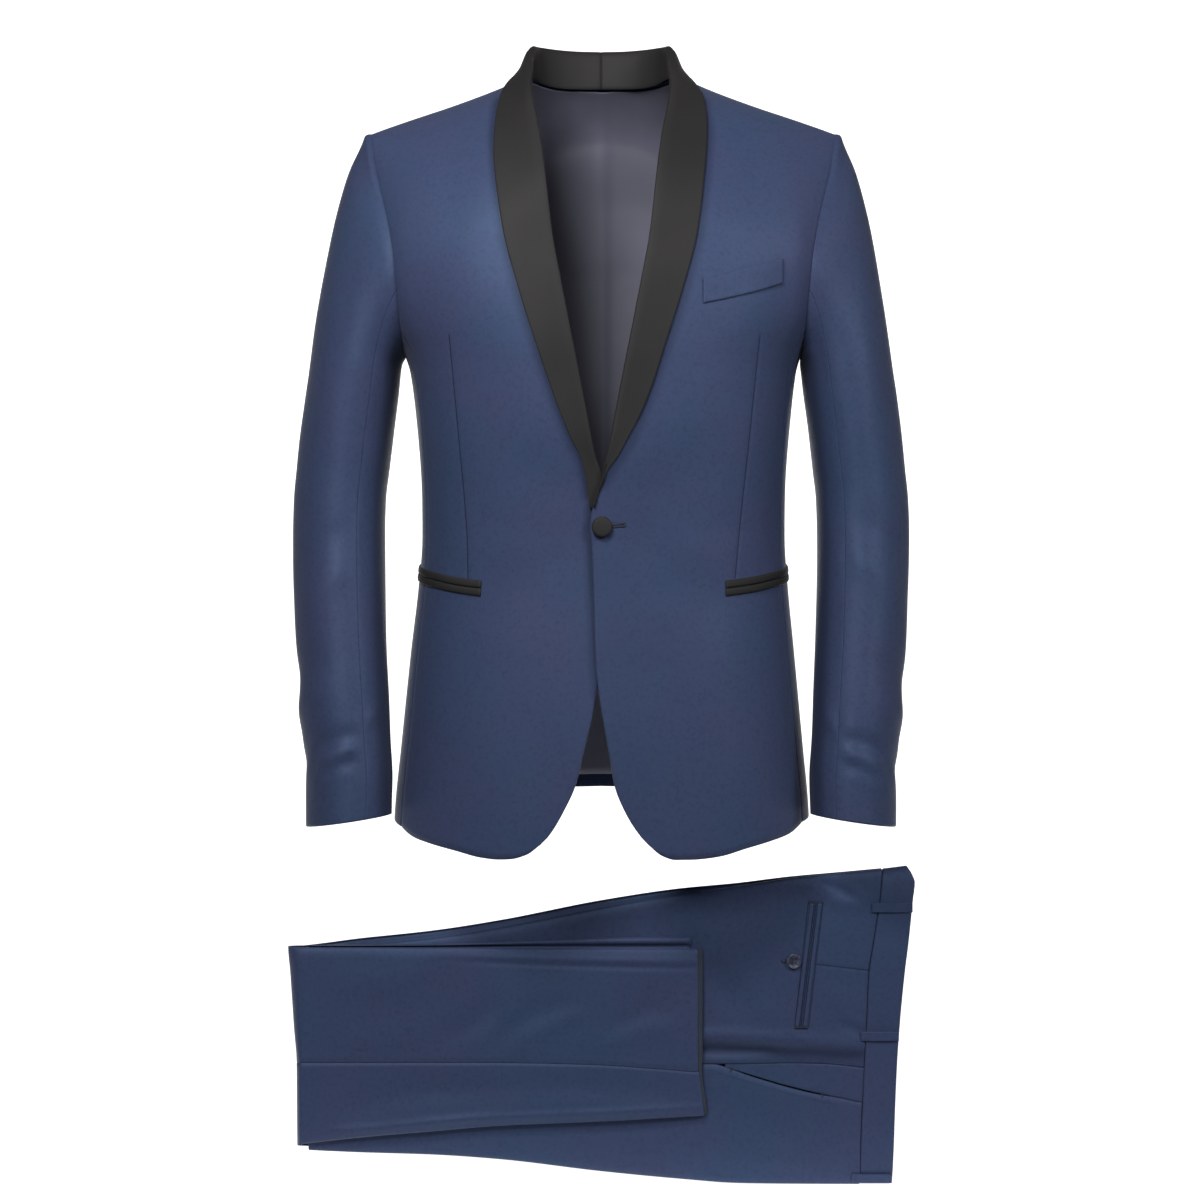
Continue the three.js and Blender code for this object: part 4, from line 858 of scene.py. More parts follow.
# Shawl collar: one satin strip a side, from the button over the roll line and round the neck.
# Sections on the chest lie on the fronts, and those round the neck stand up and fold over.
neck_sections = [
    (68, -18, 17, 67.5, -27, 24, 95.5, -18.5, 12.5, 3), (68.5, 3, 22, 69, 3, 43, 90, 4, 21.5, 3.6),
    (63.6, 23, 23, 68.5, 27, 57.5, 87.5, 29, 17.5, 4), (54, 42, 21, 61, 50, 60.5, 80, 57, 11.5, 4.2),
    (40, 55.5, 20, 45, 64.5, 60.5, 62, 76, 10.5, 4.4), (21, 64.5, 20.5, 23.5, 72.5, 60, 33, 88, 13, 4.6),
    (0, 68, 21, 0, 75.5, 60, 0, 91.5, 15, 4.6),
]


def front_out(side, width, z):
    across = front_skin(side, width + 0.2, z) - front_skin(side, width - 0.2, z)
    along = front_skin(side, width, z) - front_skin(side, width, z - 0.2)
    out = np.cross(across, along) * side
    return out / np.linalg.norm(out, axis=-1, keepdims=True)


def chest_section(side, z):
    roll = float(lapel["roll"](z))
    edge = float(lapel["over" if side > 0 else "under"](z))
    rise = float(lapel["rise"](z))
    if side < 0:
        roll -= 3.2 * math.exp(-(((z + 381) / 9) ** 2))
    elif z < -381:
        roll = float(front_edge["over"](z)) - 0.4
        edge = roll + float(mix(2.8, 0.5, smooth(-z, 382, 408)))
    flat = float(mix(2.3, 3.0, smooth(z, -360, -320)))
    across = [mix(roll, edge, share) for share in (0.14, 0.36, 0.68)]
    places = np.array([roll + 0.4, roll, roll + 1, *across, edge])
    offs = np.array([0.2, rise * 0.55, rise * 0.9, rise, mix(rise, flat, 0.4), mix(rise, flat, 0.9), flat])
    heights = np.full(7, float(z))
    return front_skin(side, places, heights) + front_out(side, places, heights) * offs[:, None]


def neck_section(side, row):
    foot, fold, edge = (np.array(row[k:k + 3]) * (side, 1, 1) for k in (0, 3, 6))
    loop = row[9]
    up = fold - (foot + edge) / 2
    up = up / np.linalg.norm(up)
    out = edge - foot
    out = out - up * np.dot(out, up)
    out = out / np.linalg.norm(out)
    inward = fold - up * loop - out * loop
    outward = fold - up * loop + out * loop * 1.15
    return np.array([foot, mix(foot, inward, 0.55), inward, fold, outward, mix(outward, edge, 0.52), edge])


def refined(coarse, rows, columns):
    """The grid with more rows and columns, through its points as smooth curves."""
    def along(points_in, count):
        n = len(points_in)
        steps = np.linalg.norm(np.diff(points_in, axis=0), axis=2).mean(1)
        knots = np.concatenate([[0], np.cumsum(np.maximum(steps, 1e-3))])
        tangent = np.zeros_like(points_in)
        h = np.diff(knots)[:, None, None]
        slope = np.diff(points_in, axis=0) / h
        tangent[1:-1] = (slope[:-1] * h[1:] + slope[1:] * h[:-1]) / (h[:-1] + h[1:])
        tangent[0], tangent[-1] = slope[0], slope[-1]
        at = np.linspace(0, knots[-1], count)
        i = np.clip(np.searchsorted(knots, at, side="right") - 1, 0, n - 2)
        t = ((at - knots[i]) / np.diff(knots)[i])[:, None, None]
        step = h[i]
        p, q = points_in[i], points_in[i + 1]
        return (
            p * (2 * t**3 - 3 * t**2 + 1) + tangent[i] * step * (t**3 - 2 * t**2 + t)
            + q * (3 * t**2 - 2 * t**3) + tangent[i + 1] * step * (t**3 - t**2)
        )

    tall = along(coarse, rows)
    return np.swapaxes(along(np.swapaxes(tall, 0, 1), columns), 0, 1)


def shawl(side, name):
    chest = [-410, -400, -391, -383, -376] if side > 0 else [-412, -397, -388, -380, -372]
    chest += [-362, -345, -320, -290, -257, -222, -186, -150, -118, -90, -66, -46, -30, -16, -4]
    coarse = [chest_section(side, z) for z in chest] + [neck_section(side, row) for row in neck_sections]
    coarse = np.array(coarse)
    coarse[-1, :, 0] = side * CENTRE_GAP
    grid = refined(coarse, 200, 42)
    piece = cloth(name, grid, (0, -1, 0), BLACK_SATIN, thick=1.3, ease=0.2)
    finished(piece, "satin", name)


shawl(1, "shawl_collar_left")
shawl(-1, "shawl_collar_right")


# Back lining: one piece of smooth cloth inside the backs, sewn down round the neck and the armholes.
# It ends above the hem, with a pleat's soft line at the centre, and is painted paler below the waist as
# painted light.
GREY_LINING = satin("grey_lining", linear(78, 78, 92), linear(94, 94, 110), 0.45, 0.3, linear(136, 136, 148))


def back_lining():
    u, v = np.meshgrid(np.linspace(-1, 1, 121), np.linspace(0, 1, 130))
    side = np.where(u < 0, -1, 1)
    share = np.abs(u)
    low = back_hem(share * 185) + 13
    top_reach = share * 232
    high = np.minimum(back_neck(top_reach), shoulder(top_reach)) - 2
    z = mix(low, high, 1 - (1 - v) ** 1.3)
    edge = np.where(side > 0, side_edge(1, BACK_SEAM, z), side_edge(-1, BACK_SEAM, z))
    width = mix(side * torso["centre"](z), edge - 0.6, share)
    skin = np.where((side > 0)[..., None], back_skin(1, width, z), back_skin(-1, width, z))
    sag = np.exp(-((u / 0.03) ** 2)) * 1.2 + np.abs(unevenness(u * 200, z, 0.8, 4))
    out = square_to(skin)
    out = out * np.where(out[..., 1:2] < 0, -1, 1)
    ridge = smooth(skin[..., 1] - RIDGE, 2, 30)
    skin = skin - out * (3.0 + sag * ridge)[..., None]
    piece = cloth("back_lining", skin, (0, 1, 0), GREY_LINING, thick=0.8, ease=0.1)
    finished(piece, "lining", "back_lining")


back_lining()


# Hip pockets: two rounded satin jets with the mouth as a dark line between them.
# They lie on the front and run round onto the side panel.
JET_FROM, JET_TO = -54, 11
hip_pocket = lines("angle z", [(-54, -488.8), (-44, -486), (-28, -480.3), (0, -472), (11, -468)])["z"]


def hip_jets(side, word):
    for name, direction in (("upper", 1), ("lower", -1)):
        u, v = np.meshgrid(shares(70, lip=0.006), np.linspace(0, 1, 9))
        angle = mix(JET_FROM, JET_TO, u)
        z = hip_pocket(angle) + direction * (0.35 + v * 7.2)
        grid = ring_skin(side, angle, z)
        rise = 1.5 - 0.8 * smooth(angle, -34, -8) + 0.8 * np.sqrt(np.clip(1 - (2 * v - 0.9) ** 2, 0, 1))
        title = f"hip_pocket_jet_{name}_{word}"
        piece = cloth(title, grid, (side * 0.6, -1, 0), BLACK_SATIN, rise=rise, ease=0.5, turned=True)
        finished(piece, "satin", title)


hip_jets(1, "left")
hip_jets(-1, "right")


# Breast pocket: a slanted welt of the jacket's wool, sewn on the left front.
# Its own thickness edges it, and it stands off a little more at the top.
WELT_FROM, WELT_TO = 98.5, 176.3


def breast_welt():
    corners = lines("x top bottom", [
        (98.5, -190, -213.5), (122, -183.2, -208.2), (146, -176.4, -201.8), (176.3, -167.6, -191.6),
    ])
    u, v = np.meshgrid(shares(44, lip=0.01), shares(16, lip=0.03))
    x = mix(WELT_FROM, WELT_TO, u)
    z = mix(corners["bottom"](x), corners["top"](x), v)
    grid = front_skin(1, x, z) + front_out(1, x, z) * (2.0 + 0.5 * smooth(v, 0.2, 1))[..., None]
    piece = cloth("breast_pocket_welt", grid, (0, -1, 0), JACKET_WOOL, ease=0.5)
    finished(piece, "jacket_wool", "breast_pocket_welt")


breast_welt()


# Front button: a flat dome covered with the collar's satin, which is gathered round its back.
# It is turned from a profile of (radius, height) and sits on the left front, below the lapels' crossing.
def lathe(name, profile, count, seat, finish):
    turn = np.linspace(0, 2 * math.pi, count, endpoint=False)
    radius, depth = np.array(profile, float).T[:, :, None] + 0 * turn
    x = seat[0] + radius * np.sin(turn)
    z = seat[2] + radius * np.cos(turn)
    ring = points(x, seat[1] - depth, z).reshape(-1, 3)
    rows = len(profile)
    index = np.arange(rows * count).reshape(rows, count)
    ahead = np.roll(index, -1, 1)
    faces = np.stack([index[:-1], index[1:], ahead[1:], ahead[:-1]], -1).reshape(-1, 4).tolist()
    ends = [ring[:count].mean(0), ring[-count:].mean(0)]
    vertices = np.concatenate([ring, ends])
    first, last = rows * count, rows * count + 1
    faces += [(first, int(index[0, i]), int(ahead[0, i])) for i in range(count)]
    faces += [(last, int(ahead[-1, i]), int(index[-1, i])) for i in range(count)]
    mesh = bpy.data.meshes.new(name + "_turned")
    mesh.from_pydata((vertices / 1000).tolist(), [], faces)
    mesh.polygons.foreach_set("use_smooth", np.ones(len(mesh.polygons), bool))
    layer = mesh.uv_layers.new(name="cloth")
    for corner in mesh.loops:
        place = mesh.vertices[corner.vertex_index].co
        layer.data[corner.index].uv = (place.x, place.z)
    mesh.materials.append(finish.material)
    made = bpy.data.objects.new(name + "_turned", mesh)
    scene.collection.objects.link(made)
    return made


dome = [
    (6, -0.9), (8.2, -0.2), (9.6, 0.8), (10.1, 1.9), (10.05, 2.9), (9.7, 3.7), (9.1, 4.25), (8.3, 4.6),
    (7.2, 4.8), (5.6, 4.95), (3.8, 5.08), (1.9, 5.15),
]
button_seat = front_skin(1, np.float64(1.0), np.float64(-429.5)) - (0, 1.1, 0)
finished(lathe("front_button", dome, 72, button_seat, BLACK_SATIN), "covered_button", "front_button")

# Folded trousers, seen from the wearer's right. The right leg faces the front with the left one behind it.
# Both fold at the knee, so the left leg's lower half ends on top with its hem over the right hip.
LEFT_BACK_Y = 9.0
LEFT_FRONT_Y = -17.0
RIGHT_Y = -6.0
trouser = lines("x left_top right_top bottom leg_top leg_bottom", [
    (-312, -845, -849, -1049, -845.5, -1044), (-244, -838.4, -844.5, -1052, -845.5, -1036),
    (-168, -830.4, -837.5, -1054.4, -845.8, -1029.5), (-101, -820, -827, -1059, -846, -1024),
    (1, -800, -807, -1071, -846.6, -1019.6), (79, -788.3, -793.5, -1078.5, -846.8, -1015.5),
    (135, -783, -785.5, -1082.5, -847, -1013), (190, -776.3, -777, -1083.2, -847, -1012),
    (250, -771, -771.3, -1083.4, -847, -1012), (314, -765, -765, -1083.4, -847, -1012),
])
seam = lines("x leg hip", [
    (-312, -960.5, -963), (-121, -960.4, -963), (-14, -962.3, -963), (60, -967, -963), (99, -970, -963.4),
    (143, -970, -963), (191, -970, -962), (222, -970, -962.7), (266, -970, -967),
])
pocket_mouth = lines("x z", [(115, -963.8), (141, -971.5), (181, -983.4), (222, -993.5), (266, -1003)])["z"]
trouser_end = lines("z waist top fold", [
    (-765, 282, 305.5, -312.6), (-774, 281, 310.5, -312.6), (-782, 280.4, 313, -312.6),
    (-798, 279, 311.2, -312.6), (-845, 272, 306.3, -312.6), (-871, 268, 303, -310.5),
    (-928, 265.4, 297.5, -306.6), (-961, 263.5, 295.3, -304), (-1002, 261.5, 293.5, -303.7),
    (-1044, 259.8, 292, -303.4), (-1084, 259, 290.3, -303),
])
DARK_NAVY = (linear(32, 38, 59), linear(51, 58, 86), linear(46, 60, 87))
TROUSER_WOOL = wool("trouser_wool", *DARK_NAVY)
# The lines round the back pocket's welts are painted shadow, the others are seams and the back dart; the
# broad line is painted shade in the hip's trough.
HIP_SEAMS_AND_WELT_SHADOW = [
    [(213, -863.2), (267.2, -869.6)], [(207, -801), (193.4, -926)], [(221.6, -801.6), (207, -926)],
    [(207, -801), (221.6, -801.6)], [(193.4, -926), (207, -926)],
    [(90, -962.9), (143, -962.4), (191, -961.5), (222, -962.2), (266, -966.5)],
]
HIP_SHADE = [[(92, -947.5), (133, -948.5), (176, -951.5), (220, -952), (258, -953.5)]]
HIP_WOOL = wool("hip_wool", *DARK_NAVY, HIP_SEAMS_AND_WELT_SHADOW, HIP_SHADE)
right_leg_folds = [
    (84, -948, 176, -951, 5.0, -6.2, -1), (165, -951, 262, -953, 4.4, -4.8, 1),
    (84, -935, 190, -939, 6, 2.4, -2), (176, -938, 258, -947, 6, 1.5, -2),
    (183, -939, 218, -948, 2.8, -2.2, 1), (240, -923, 262, -932, 3, -2.4, -1),
    (244, -916, 263, -925, 4, 1.3, -1), (196, -945, 262, -949, 4, 1.2, 1),
    (218, -780, 250, -797, 4.5, -1.8, -2), (205, -783, 240, -805, 6, 1.3, -3),
    (222, -790, 232, -822, 7, -1.2, -2), (250, -786, 266, -800, 4, 1.2, 1),
    (236, -800, 262, -806, 5, 1.1, -1), (110, -870, 150, -905, 16, -1.3, 5),
    (150, -880, 178, -925, 14, 1.1, 4), (104, -820, 170, -800, 14, -0.9, 4),
    (120, -985, 190, -1000, 10, 0.8, 3), (110, -1030, 210, -1062, 15, 1.2, 6),
    (-60, -1062, 230, -1073, 8, -1.2, 2), (150, -1020, 250, -1046, 16, -1.0, 4),
    (-80, -835, 60, -815, 12, 0.8, 2), (225, -890, 262, -910, 10, 0.8, 3),
]


def crease_drop(distance):
    near = np.clip(1 - distance / 12, 0, 1)
    return 3.4 * (1 - np.sqrt(np.maximum(1 - near * near, 0)))


def hip_face(x):
    return RIGHT_Y - 1.6 * smooth(x, 95, 150)


def right_skin(x, z):
    x, z = np.broadcast_arrays(np.asarray(x, float), np.asarray(z, float))
    edge = np.minimum(trouser["right_top"](x) - z, z - trouser["bottom"](x))
    y = hip_face(x) + crease_drop(np.maximum(edge, 0))
    lift = folds(x, z, right_leg_folds) + unevenness(x, z, 0.45, 3)
    return points(x, y - lift * smooth(edge, 0, 14) * smooth(x, 90, 101), z)


def leg_shares(count):
    """Shares across a leg's half, closer together towards the pressed crease at 1."""
    return shares(count, power=0.8)


def leg_end(z):
    """Where the leg's cloth stops below the waistband's seam."""
    return trouser_end["waist"](z) - 1


def right_leg():
    start = -292
    u, v = np.meshgrid(leg_shares(46), shares(120, lip=0.002))
    seam_x = mix(start, leg_end(-963), v)
    top_x = mix(start, leg_end(-772), v)
    z = mix(seam["hip"](seam_x) + 0.15, trouser["right_top"](top_x), u)
    x = mix(start, leg_end(z), v)
    grid = right_skin(x, np.minimum(z, trouser["right_top"](x)))
    piece = cloth("right_leg_back", grid, (0, -1, 0), HIP_WOOL, turned=True)
    finished(piece, "trouser_wool", "right_leg_back")
    u, v = np.meshgrid(1 - leg_shares(34)[::-1], shares(120, lip=0.002))
    seam_x = mix(start, leg_end(-1000), v)
    upper = np.where(seam_x > 115, pocket_mouth(seam_x), seam["hip"](seam_x))
    opening = 1.5 * smooth(seam_x, 118, 150) * (1 - smooth(seam_x, 205, 240))
    z = mix(trouser["bottom"](seam_x), upper - 0.15 - opening, u)
    grid = right_skin(mix(start, leg_end(z), v), z)
    piece = cloth("right_leg_front", grid, (0, -1, 0), TROUSER_WOOL, turned=True)
    finished(piece, "trouser_wool", "right_leg_front")
    u, v = np.meshgrid(np.linspace(0, 1, 16), shares(50, lip=0.01))
    x = mix(124, trouser_end["waist"](mix(-1002, -967, u)) - 0.6, v)
    grid = right_skin(x, mix(pocket_mouth(x) + 0.3, seam["hip"](x) - 0.3, u))
    piece = cloth("pocket_facing", grid, (0, -1, 0), TROUSER_WOOL, -0.9, thick=0.8, ease=0.1, turned=True)
    finished(piece, "trouser_wool", "pocket_facing")


right_leg()

# Left leg: behind the right one from the waist to the knee, round the fold, and back on top to the hem.
# Pressed creases edge the top layer, and shallow diagonal folds cross it.
top_layer_folds = [
    (-150, -937, -104, -902, 12, -1.4, 3), (-130, -942, -84, -908, 12, 1.2, 3),
    (-112, -938, -26, -902, 14, -1.5, -5), (-90, -946, -10, -912, 12, 1.2, -5),
    (-44, -930, 4, -908, 10, -0.9, 2), (8, -928, 74, -908, 12, -1.3, -4), (4, -944, 62, -924, 11, 1.0, -4),
    (-120, -860, 97, -866, 2.6, -1.2, 1), (-122, -855, 97, -860, 4, 1.0, 1),
    (-262, -1010, -150, -984, 14, -1.6, -3), (-170, -992, -20, -984, 13, -1.5, -2),
    (-40, -986, 80, -992, 11, -1.2, -2), (-286, -1030, -130, -1016, 5, 2.0, 2),
    (-150, -1018, 96, -1006, 5, 1.7, 1), (-284, -880, -284, -950, 14, -1.6, 0),
    (-270, -880, -180, -870, 16, 1.0, 3), (30, -900, 84, -885, 14, -1.0, 2),
    (-250, -940, -170, -925, 16, 1.0, 3),
]
TURN_X = -298.0


def left_leg(half, name, count):
    back_half = half == "back"
    gap = 0.15 if back_half else -0.15
    behind_top = lambda x: trouser["left_top"](x) - 1.8 * (1 - smooth(x, -300, -230))
    behind_crease = behind_top if back_half else (lambda x: trouser["bottom"](x) + 2.5)
    above_crease = trouser["leg_top"] if back_half else trouser["leg_bottom"]
    u = leg_shares(count)[None, :]
    rows = []
    v = np.linspace(0, 1, 90)[:, None]
    seam_z = seam["hip"](250.0) + gap
    z = mix(seam_z, behind_crease(np.float64(250)), u)
    x = mix(leg_end(z), TURN_X, v)
    z = mix(seam["hip"](x) + gap, behind_crease(x), u)
    rows.append(points(x, LEFT_BACK_Y - crease_drop(np.abs(z - behind_crease(x))), z))
    v = np.linspace(0, 1, 26)[1:-1, None]
    turn_x = np.full_like(v * u, TURN_X)
    before = mix(seam["hip"](turn_x) + gap, behind_crease(turn_x), u)
    after = mix(seam["leg"](turn_x) + gap, above_crease(turn_x), u)
    z = mix(before, after, v)
    swing = mix(math.pi / 2, -math.pi / 2, v)
    drop = crease_drop(np.abs(z - above_crease(turn_x)))
    middle, radius = (LEFT_BACK_Y + LEFT_FRONT_Y) / 2, (LEFT_BACK_Y - LEFT_FRONT_Y) / 2
    x = TURN_X - (TURN_X - trouser_end["fold"](z)) * np.cos(swing)
    rows.append(points(x, middle + (radius - drop) * np.sin(swing), z))
    v = shares(110, lip=0.003)[1:, None]
    guess = mix(seam["leg"](99.0) + gap, above_crease(np.float64(99)), u)
    hem = 96.6 if back_half else mix(97.5, 103, (seam["leg"](99.0) - guess) / 45)
    x = mix(TURN_X, hem, v)
    z = mix(seam["leg"](x) + gap, above_crease(x), u)
    y = LEFT_FRONT_Y + crease_drop(np.abs(z - above_crease(x))) + 2 * smooth(x, 40, 100)
    lift = folds(x, z, top_layer_folds) + unevenness(x, z, 0.5, 6)
    calm = smooth(np.abs(z - above_crease(x)), 0, 12) * smooth(np.abs(z - seam["leg"](x)), 0, 9)
    y = y - lift * calm * smooth(x, -290, -240)
    rows.append(points(x, y, z))
    grid = np.concatenate(rows)
    piece = cloth(name, grid, (-1, 0, 0), TROUSER_WOOL, turned=True)
    finished(piece, "trouser_wool", name)


left_leg("back", "left_leg_back", 46)
left_leg("front", "left_leg_front", 34)


# Hidden layers of both legs: the inner halves of the cloth, which lie flat on each other.
# They are rounded blocks, and show only as slivers at the layered edges.
def block(name, x, z, front_y, back_y):
    front_face = points(x, front_y, z)
    back_face = points(x, back_y, z)
    rows, columns = front_face.shape[:2]
    index = np.arange(rows * columns).reshape(rows, columns)
    quads = np.stack([index[:-1, :-1], index[:-1, 1:], index[1:, 1:], index[1:, :-1]], -1).reshape(-1, 4)
    rim = np.concatenate([index[0, :-1], index[:-1, -1], index[-1, :0:-1], index[:0:-1, 0]])
    ahead = np.roll(rim, -1)
    size = rows * columns
    walls = np.stack([ahead, rim, rim + size, ahead + size], -1)
    faces = np.concatenate([quads, quads[:, ::-1] + size, walls])
    vertices = np.concatenate([front_face.reshape(-1, 3), back_face.reshape(-1, 3)])
    piece = shell(name, vertices, faces, front_face, TROUSER_WOOL, True)
    finished(piece, "trouser_wool", name)


def hidden_layers():
    u, v = np.meshgrid([0, 0.008, 0.03, 0.08, 0.2, 0.5, 0.8, 0.92, 0.97, 0.992, 1], np.linspace(0, 1, 60))
    x = mix(-290, trouser_end["top"](mix(-1075, -785, u)) - 4, v)
    below_left = trouser["left_top"](x) - 2.2 - 1.8 * (1 - smooth(x, -300, -230))
    z = mix(trouser["bottom"](x) + 7, mix(below_left, trouser["right_top"](x) - 6, smooth(x, 150, 220)), u)
    front_y = hip_face(x) + 2.0 + 6 * smooth(x, 80, 100)
    back_y = LEFT_BACK_Y - 2.0
    edge = np.minimum(u, 1 - u)
    full = 0.22 + 0.78 * smooth(edge, 0, 0.08)
    middle, half = (front_y + back_y) / 2, (back_y - front_y) / 2
    block("upper_legs_hidden_layers", x, z, middle - half * full, middle + half * full)
    v = np.linspace(0, 1, 60)[:, None]
    x = mix(-290, 90, v)
    top, bottom = trouser["leg_top"](x), trouser["leg_bottom"](x)
    inside_top = mix(top + 1.5, top + 10.5, smooth(x, -250, 60))
    stand = inside_top - top
    z = np.concatenate([bottom + 5, bottom + 9, bottom + 14, (top + bottom) / 2, top - 14, top - 8, top - 1,
                        top + 0.14 * stand, top + 0.3 * stand, top + 0.44 * stand, top + 0.7 * stand,
                        inside_top - 0.8, inside_top], 1)
    front_step = np.array([2.0, 1.2, 0.2, 0, 0.2, 0.8, 3.4, 5.0, 3.4, 1.2, 0.8, 2.0, 3.4])
    back_step = np.array([1.6, 0.9, 0, 0, 0, 0, 0.4, 0.4, 0.4, 0.5, 0.6, 0.9, 1.4])
    face = LEFT_FRONT_Y + 2 * smooth(x, 40, 100) + 4.0
    block("lower_legs_hidden_layers", x + 0 * z, z, face + front_step, RIGHT_Y - 0.5 - back_step + 0 * z)


hidden_layers()


# Hem of the top layer, seen end on: a turned edge whose inside is painted dark, as painted shade.
# Its plain finish is speckled a little, and also serves for thread and moulded plastic.
def plain_finish(name, deep, light, roughness, scale, holes=()):
    finish = Finish(name, roughness)
    speck = finish.noise(finish.place(), scale, 3, 0.6)
    tone = finish.mix(speck.step(0.35, 0.7), deep, light)
    # Holes are near-black spots of painted shade; no holes are cut in the shape.
    if holes:
        x, _, z = finish.axes(finish.place())
        tone = finish.mix(finish.nearness(x, z, holes, 0.0014), tone, linear(6, 7, 10))
    finish.feed("Base Color", tone)
    finish.feed("Roughness", roughness + speck * 0.15)
    finish.feed("Normal", finish.bump(speck, 0.15, 0.0001))
    return finish


HEM_PAINTED_SHADE = plain_finish("hem_painted_shade", linear(29, 34, 46), linear(40, 47, 62), 0.8, 900)


def hem_inside():
    u, v = np.meshgrid(np.linspace(0, 1, 8), shares(60, lip=0.01))
    z = mix(-1013.5, -847.5, v)
    end = 101.2 + 5.2 * smooth(-z, 968, 1016) - 0.6 * smooth(-z, 950, 968)
    x = mix(end - 12, end, u)
    drop = crease_drop(np.minimum(-847 - z, z + 1014))
    grid = points(x, LEFT_FRONT_Y + 4.6 + drop - 0.7 * np.sin(u * math.pi), z)
    piece = cloth("hem_inside", grid, (0, -1, 0), HEM_PAINTED_SHADE, thick=1.2, ease=0.3)
    finished(piece, "trouser_wool")


hem_inside()


# Waistband: a band of the same wool round the top edge, sewn to the legs, with a turned edge.
# It is a flattened ring here, because the trousers lie folded along their middle.
BAND_RIGHT_Y = RIGHT_Y - 2.2
BAND_LEFT_Y = LEFT_BACK_Y + 0.6


def waistband():
    share = np.concatenate([
        np.linspace(-0.999, -0.9, 12), np.linspace(-0.9, 0.9, 60)[1:-1], np.linspace(0.9, 0.999, 12),
    ])
    both = np.concatenate([share, share[::-1]])[None, :]
    back_side = np.concatenate([np.zeros(len(share)), np.ones(len(share))])[None, :]
    v = np.concatenate([[0, 0.03], np.linspace(0.1, 0.9, 10), [0.97, 1]])[:, None]
    z = mix(-1083.4, mix(-768.4, -765.4, v), (both + 1) / 2)
    x = mix(trouser_end["waist"](z), trouser_end["top"](z), v)
    arc = np.sqrt(np.clip(1 - np.abs(both) ** 16, 0, 1))
    face = np.where(back_side > 0, BAND_LEFT_Y, BAND_RIGHT_Y)
    lift = folds(x, z, [(270, -930, 296, -934, 16, -0.8, 0), (270, -860, 302, -856, 20, 0.7, 0),
                        (265, -1000, 292, -1004, 24, 0.7, 0)])
    y = mix(1, face, arc) - lift * (1 - back_side) * smooth(arc, 0.5, 1)
    piece = cloth("waistband", points(x, y, z), (0, 1, 0), TROUSER_WOOL, thick=2.0, ease=0.5, ring=True)
    finished(piece, "trouser_wool", "waistband")


waistband()


# Belt loops: narrow strips with pressed edges, three on each side of the band.
# Their ends are sewn down on it, and they arch over it a little between them.
LOOP_WIDTH = 9
LOOPS = [("rear", -807, 270.5, 310.5), ("side", -935.2, 259.5, 296.8), ("fore", -1077, 250.5, 290)]


def belt_loops():
    for name, at, start, end in LOOPS:
        for side, word in ((-1, "right"), (1, "left")):
            face = BAND_RIGHT_Y if side < 0 else BAND_LEFT_Y
            u, v = np.meshgrid(shares(12, lip=0.05), shares(30, lip=0.015))
            z = at + (u - 0.5) * LOOP_WIDTH
            curve = np.maximum(0, np.abs(z + 924) - 148) * 0.16
            arch = 1.1 * np.sin(np.clip(v, 0, 1) * math.pi) ** 0.5
            grid = points(mix(start, end, v), face - side * curve + side * arch, z)
            title = f"belt_loop_{name}_{word}"
            piece = cloth(title, grid, (0, side, 0), TROUSER_WOOL, rise=1.5, thick=1.5, ease=0.5)
            finished(piece, "trouser_wool", title)


belt_loops()


# Back pocket: two narrow welts of the same wool with the mouth between them, on the right hip.
# A thread loop comes out of it and holds a moulded button with four holes.
# Painted shade along the crease of each welt's lip, beside the mouth.
WELT_LIP_SHADE = [[(213, -801.5), (197.9, -926)], [(216.2, -801.5), (201.1, -926)]]
WELT_WOOL = wool("welt_wool", *DARK_NAVY, WELT_LIP_SHADE)
NAVY_THREAD = plain_finish("navy_thread", linear(22, 27, 45), linear(34, 40, 64), 0.6, 2500)
BUTTON_X, BUTTON_Z = 192.4, -860.4
# The button's four holes are painted shade: near-black spots on its face.
BUTTON_HOLE_SHADE = [
    [(BUTTON_X + a, BUTTON_Z + b), (BUTTON_X + a + 0.1, BUTTON_Z + b)]
    for a in (-2, 1.9) for b in (-1.95, 1.95)
]
BUTTON_PLASTIC = plain_finish("button_plastic", linear(30, 34, 50), linear(62, 68, 92), 0.3, 220, BUTTON_HOLE_SHADE)


def pocket_welts():
    for name, direction in (("upper", 1), ("lower", -1)):
        u, v = np.meshgrid(np.linspace(0, 1, 22), shares(60, lip=0.006))
        x = mix(199.4, 214.6, v) + direction * (0.2 + u * 5.6)
        grid = right_skin(x, mix(-925.4, -802.6, v))
        lip = np.exp(-(((u - 0.12) / 0.1) ** 2)) - np.exp(-(((u - 0.27) / 0.06) ** 2))
        rise = 1.3 + 0.5 * np.sqrt(np.clip(1 - (2 * u - 1) ** 2, 0, 1)) + 0.5 * lip
        title = "back_pocket_welt_" + name
        piece = cloth(title, grid, (0, -1, 0), WELT_WOOL, rise=rise, thick=1.2, ease=0.4)
        finished(piece, "trouser_wool", title)


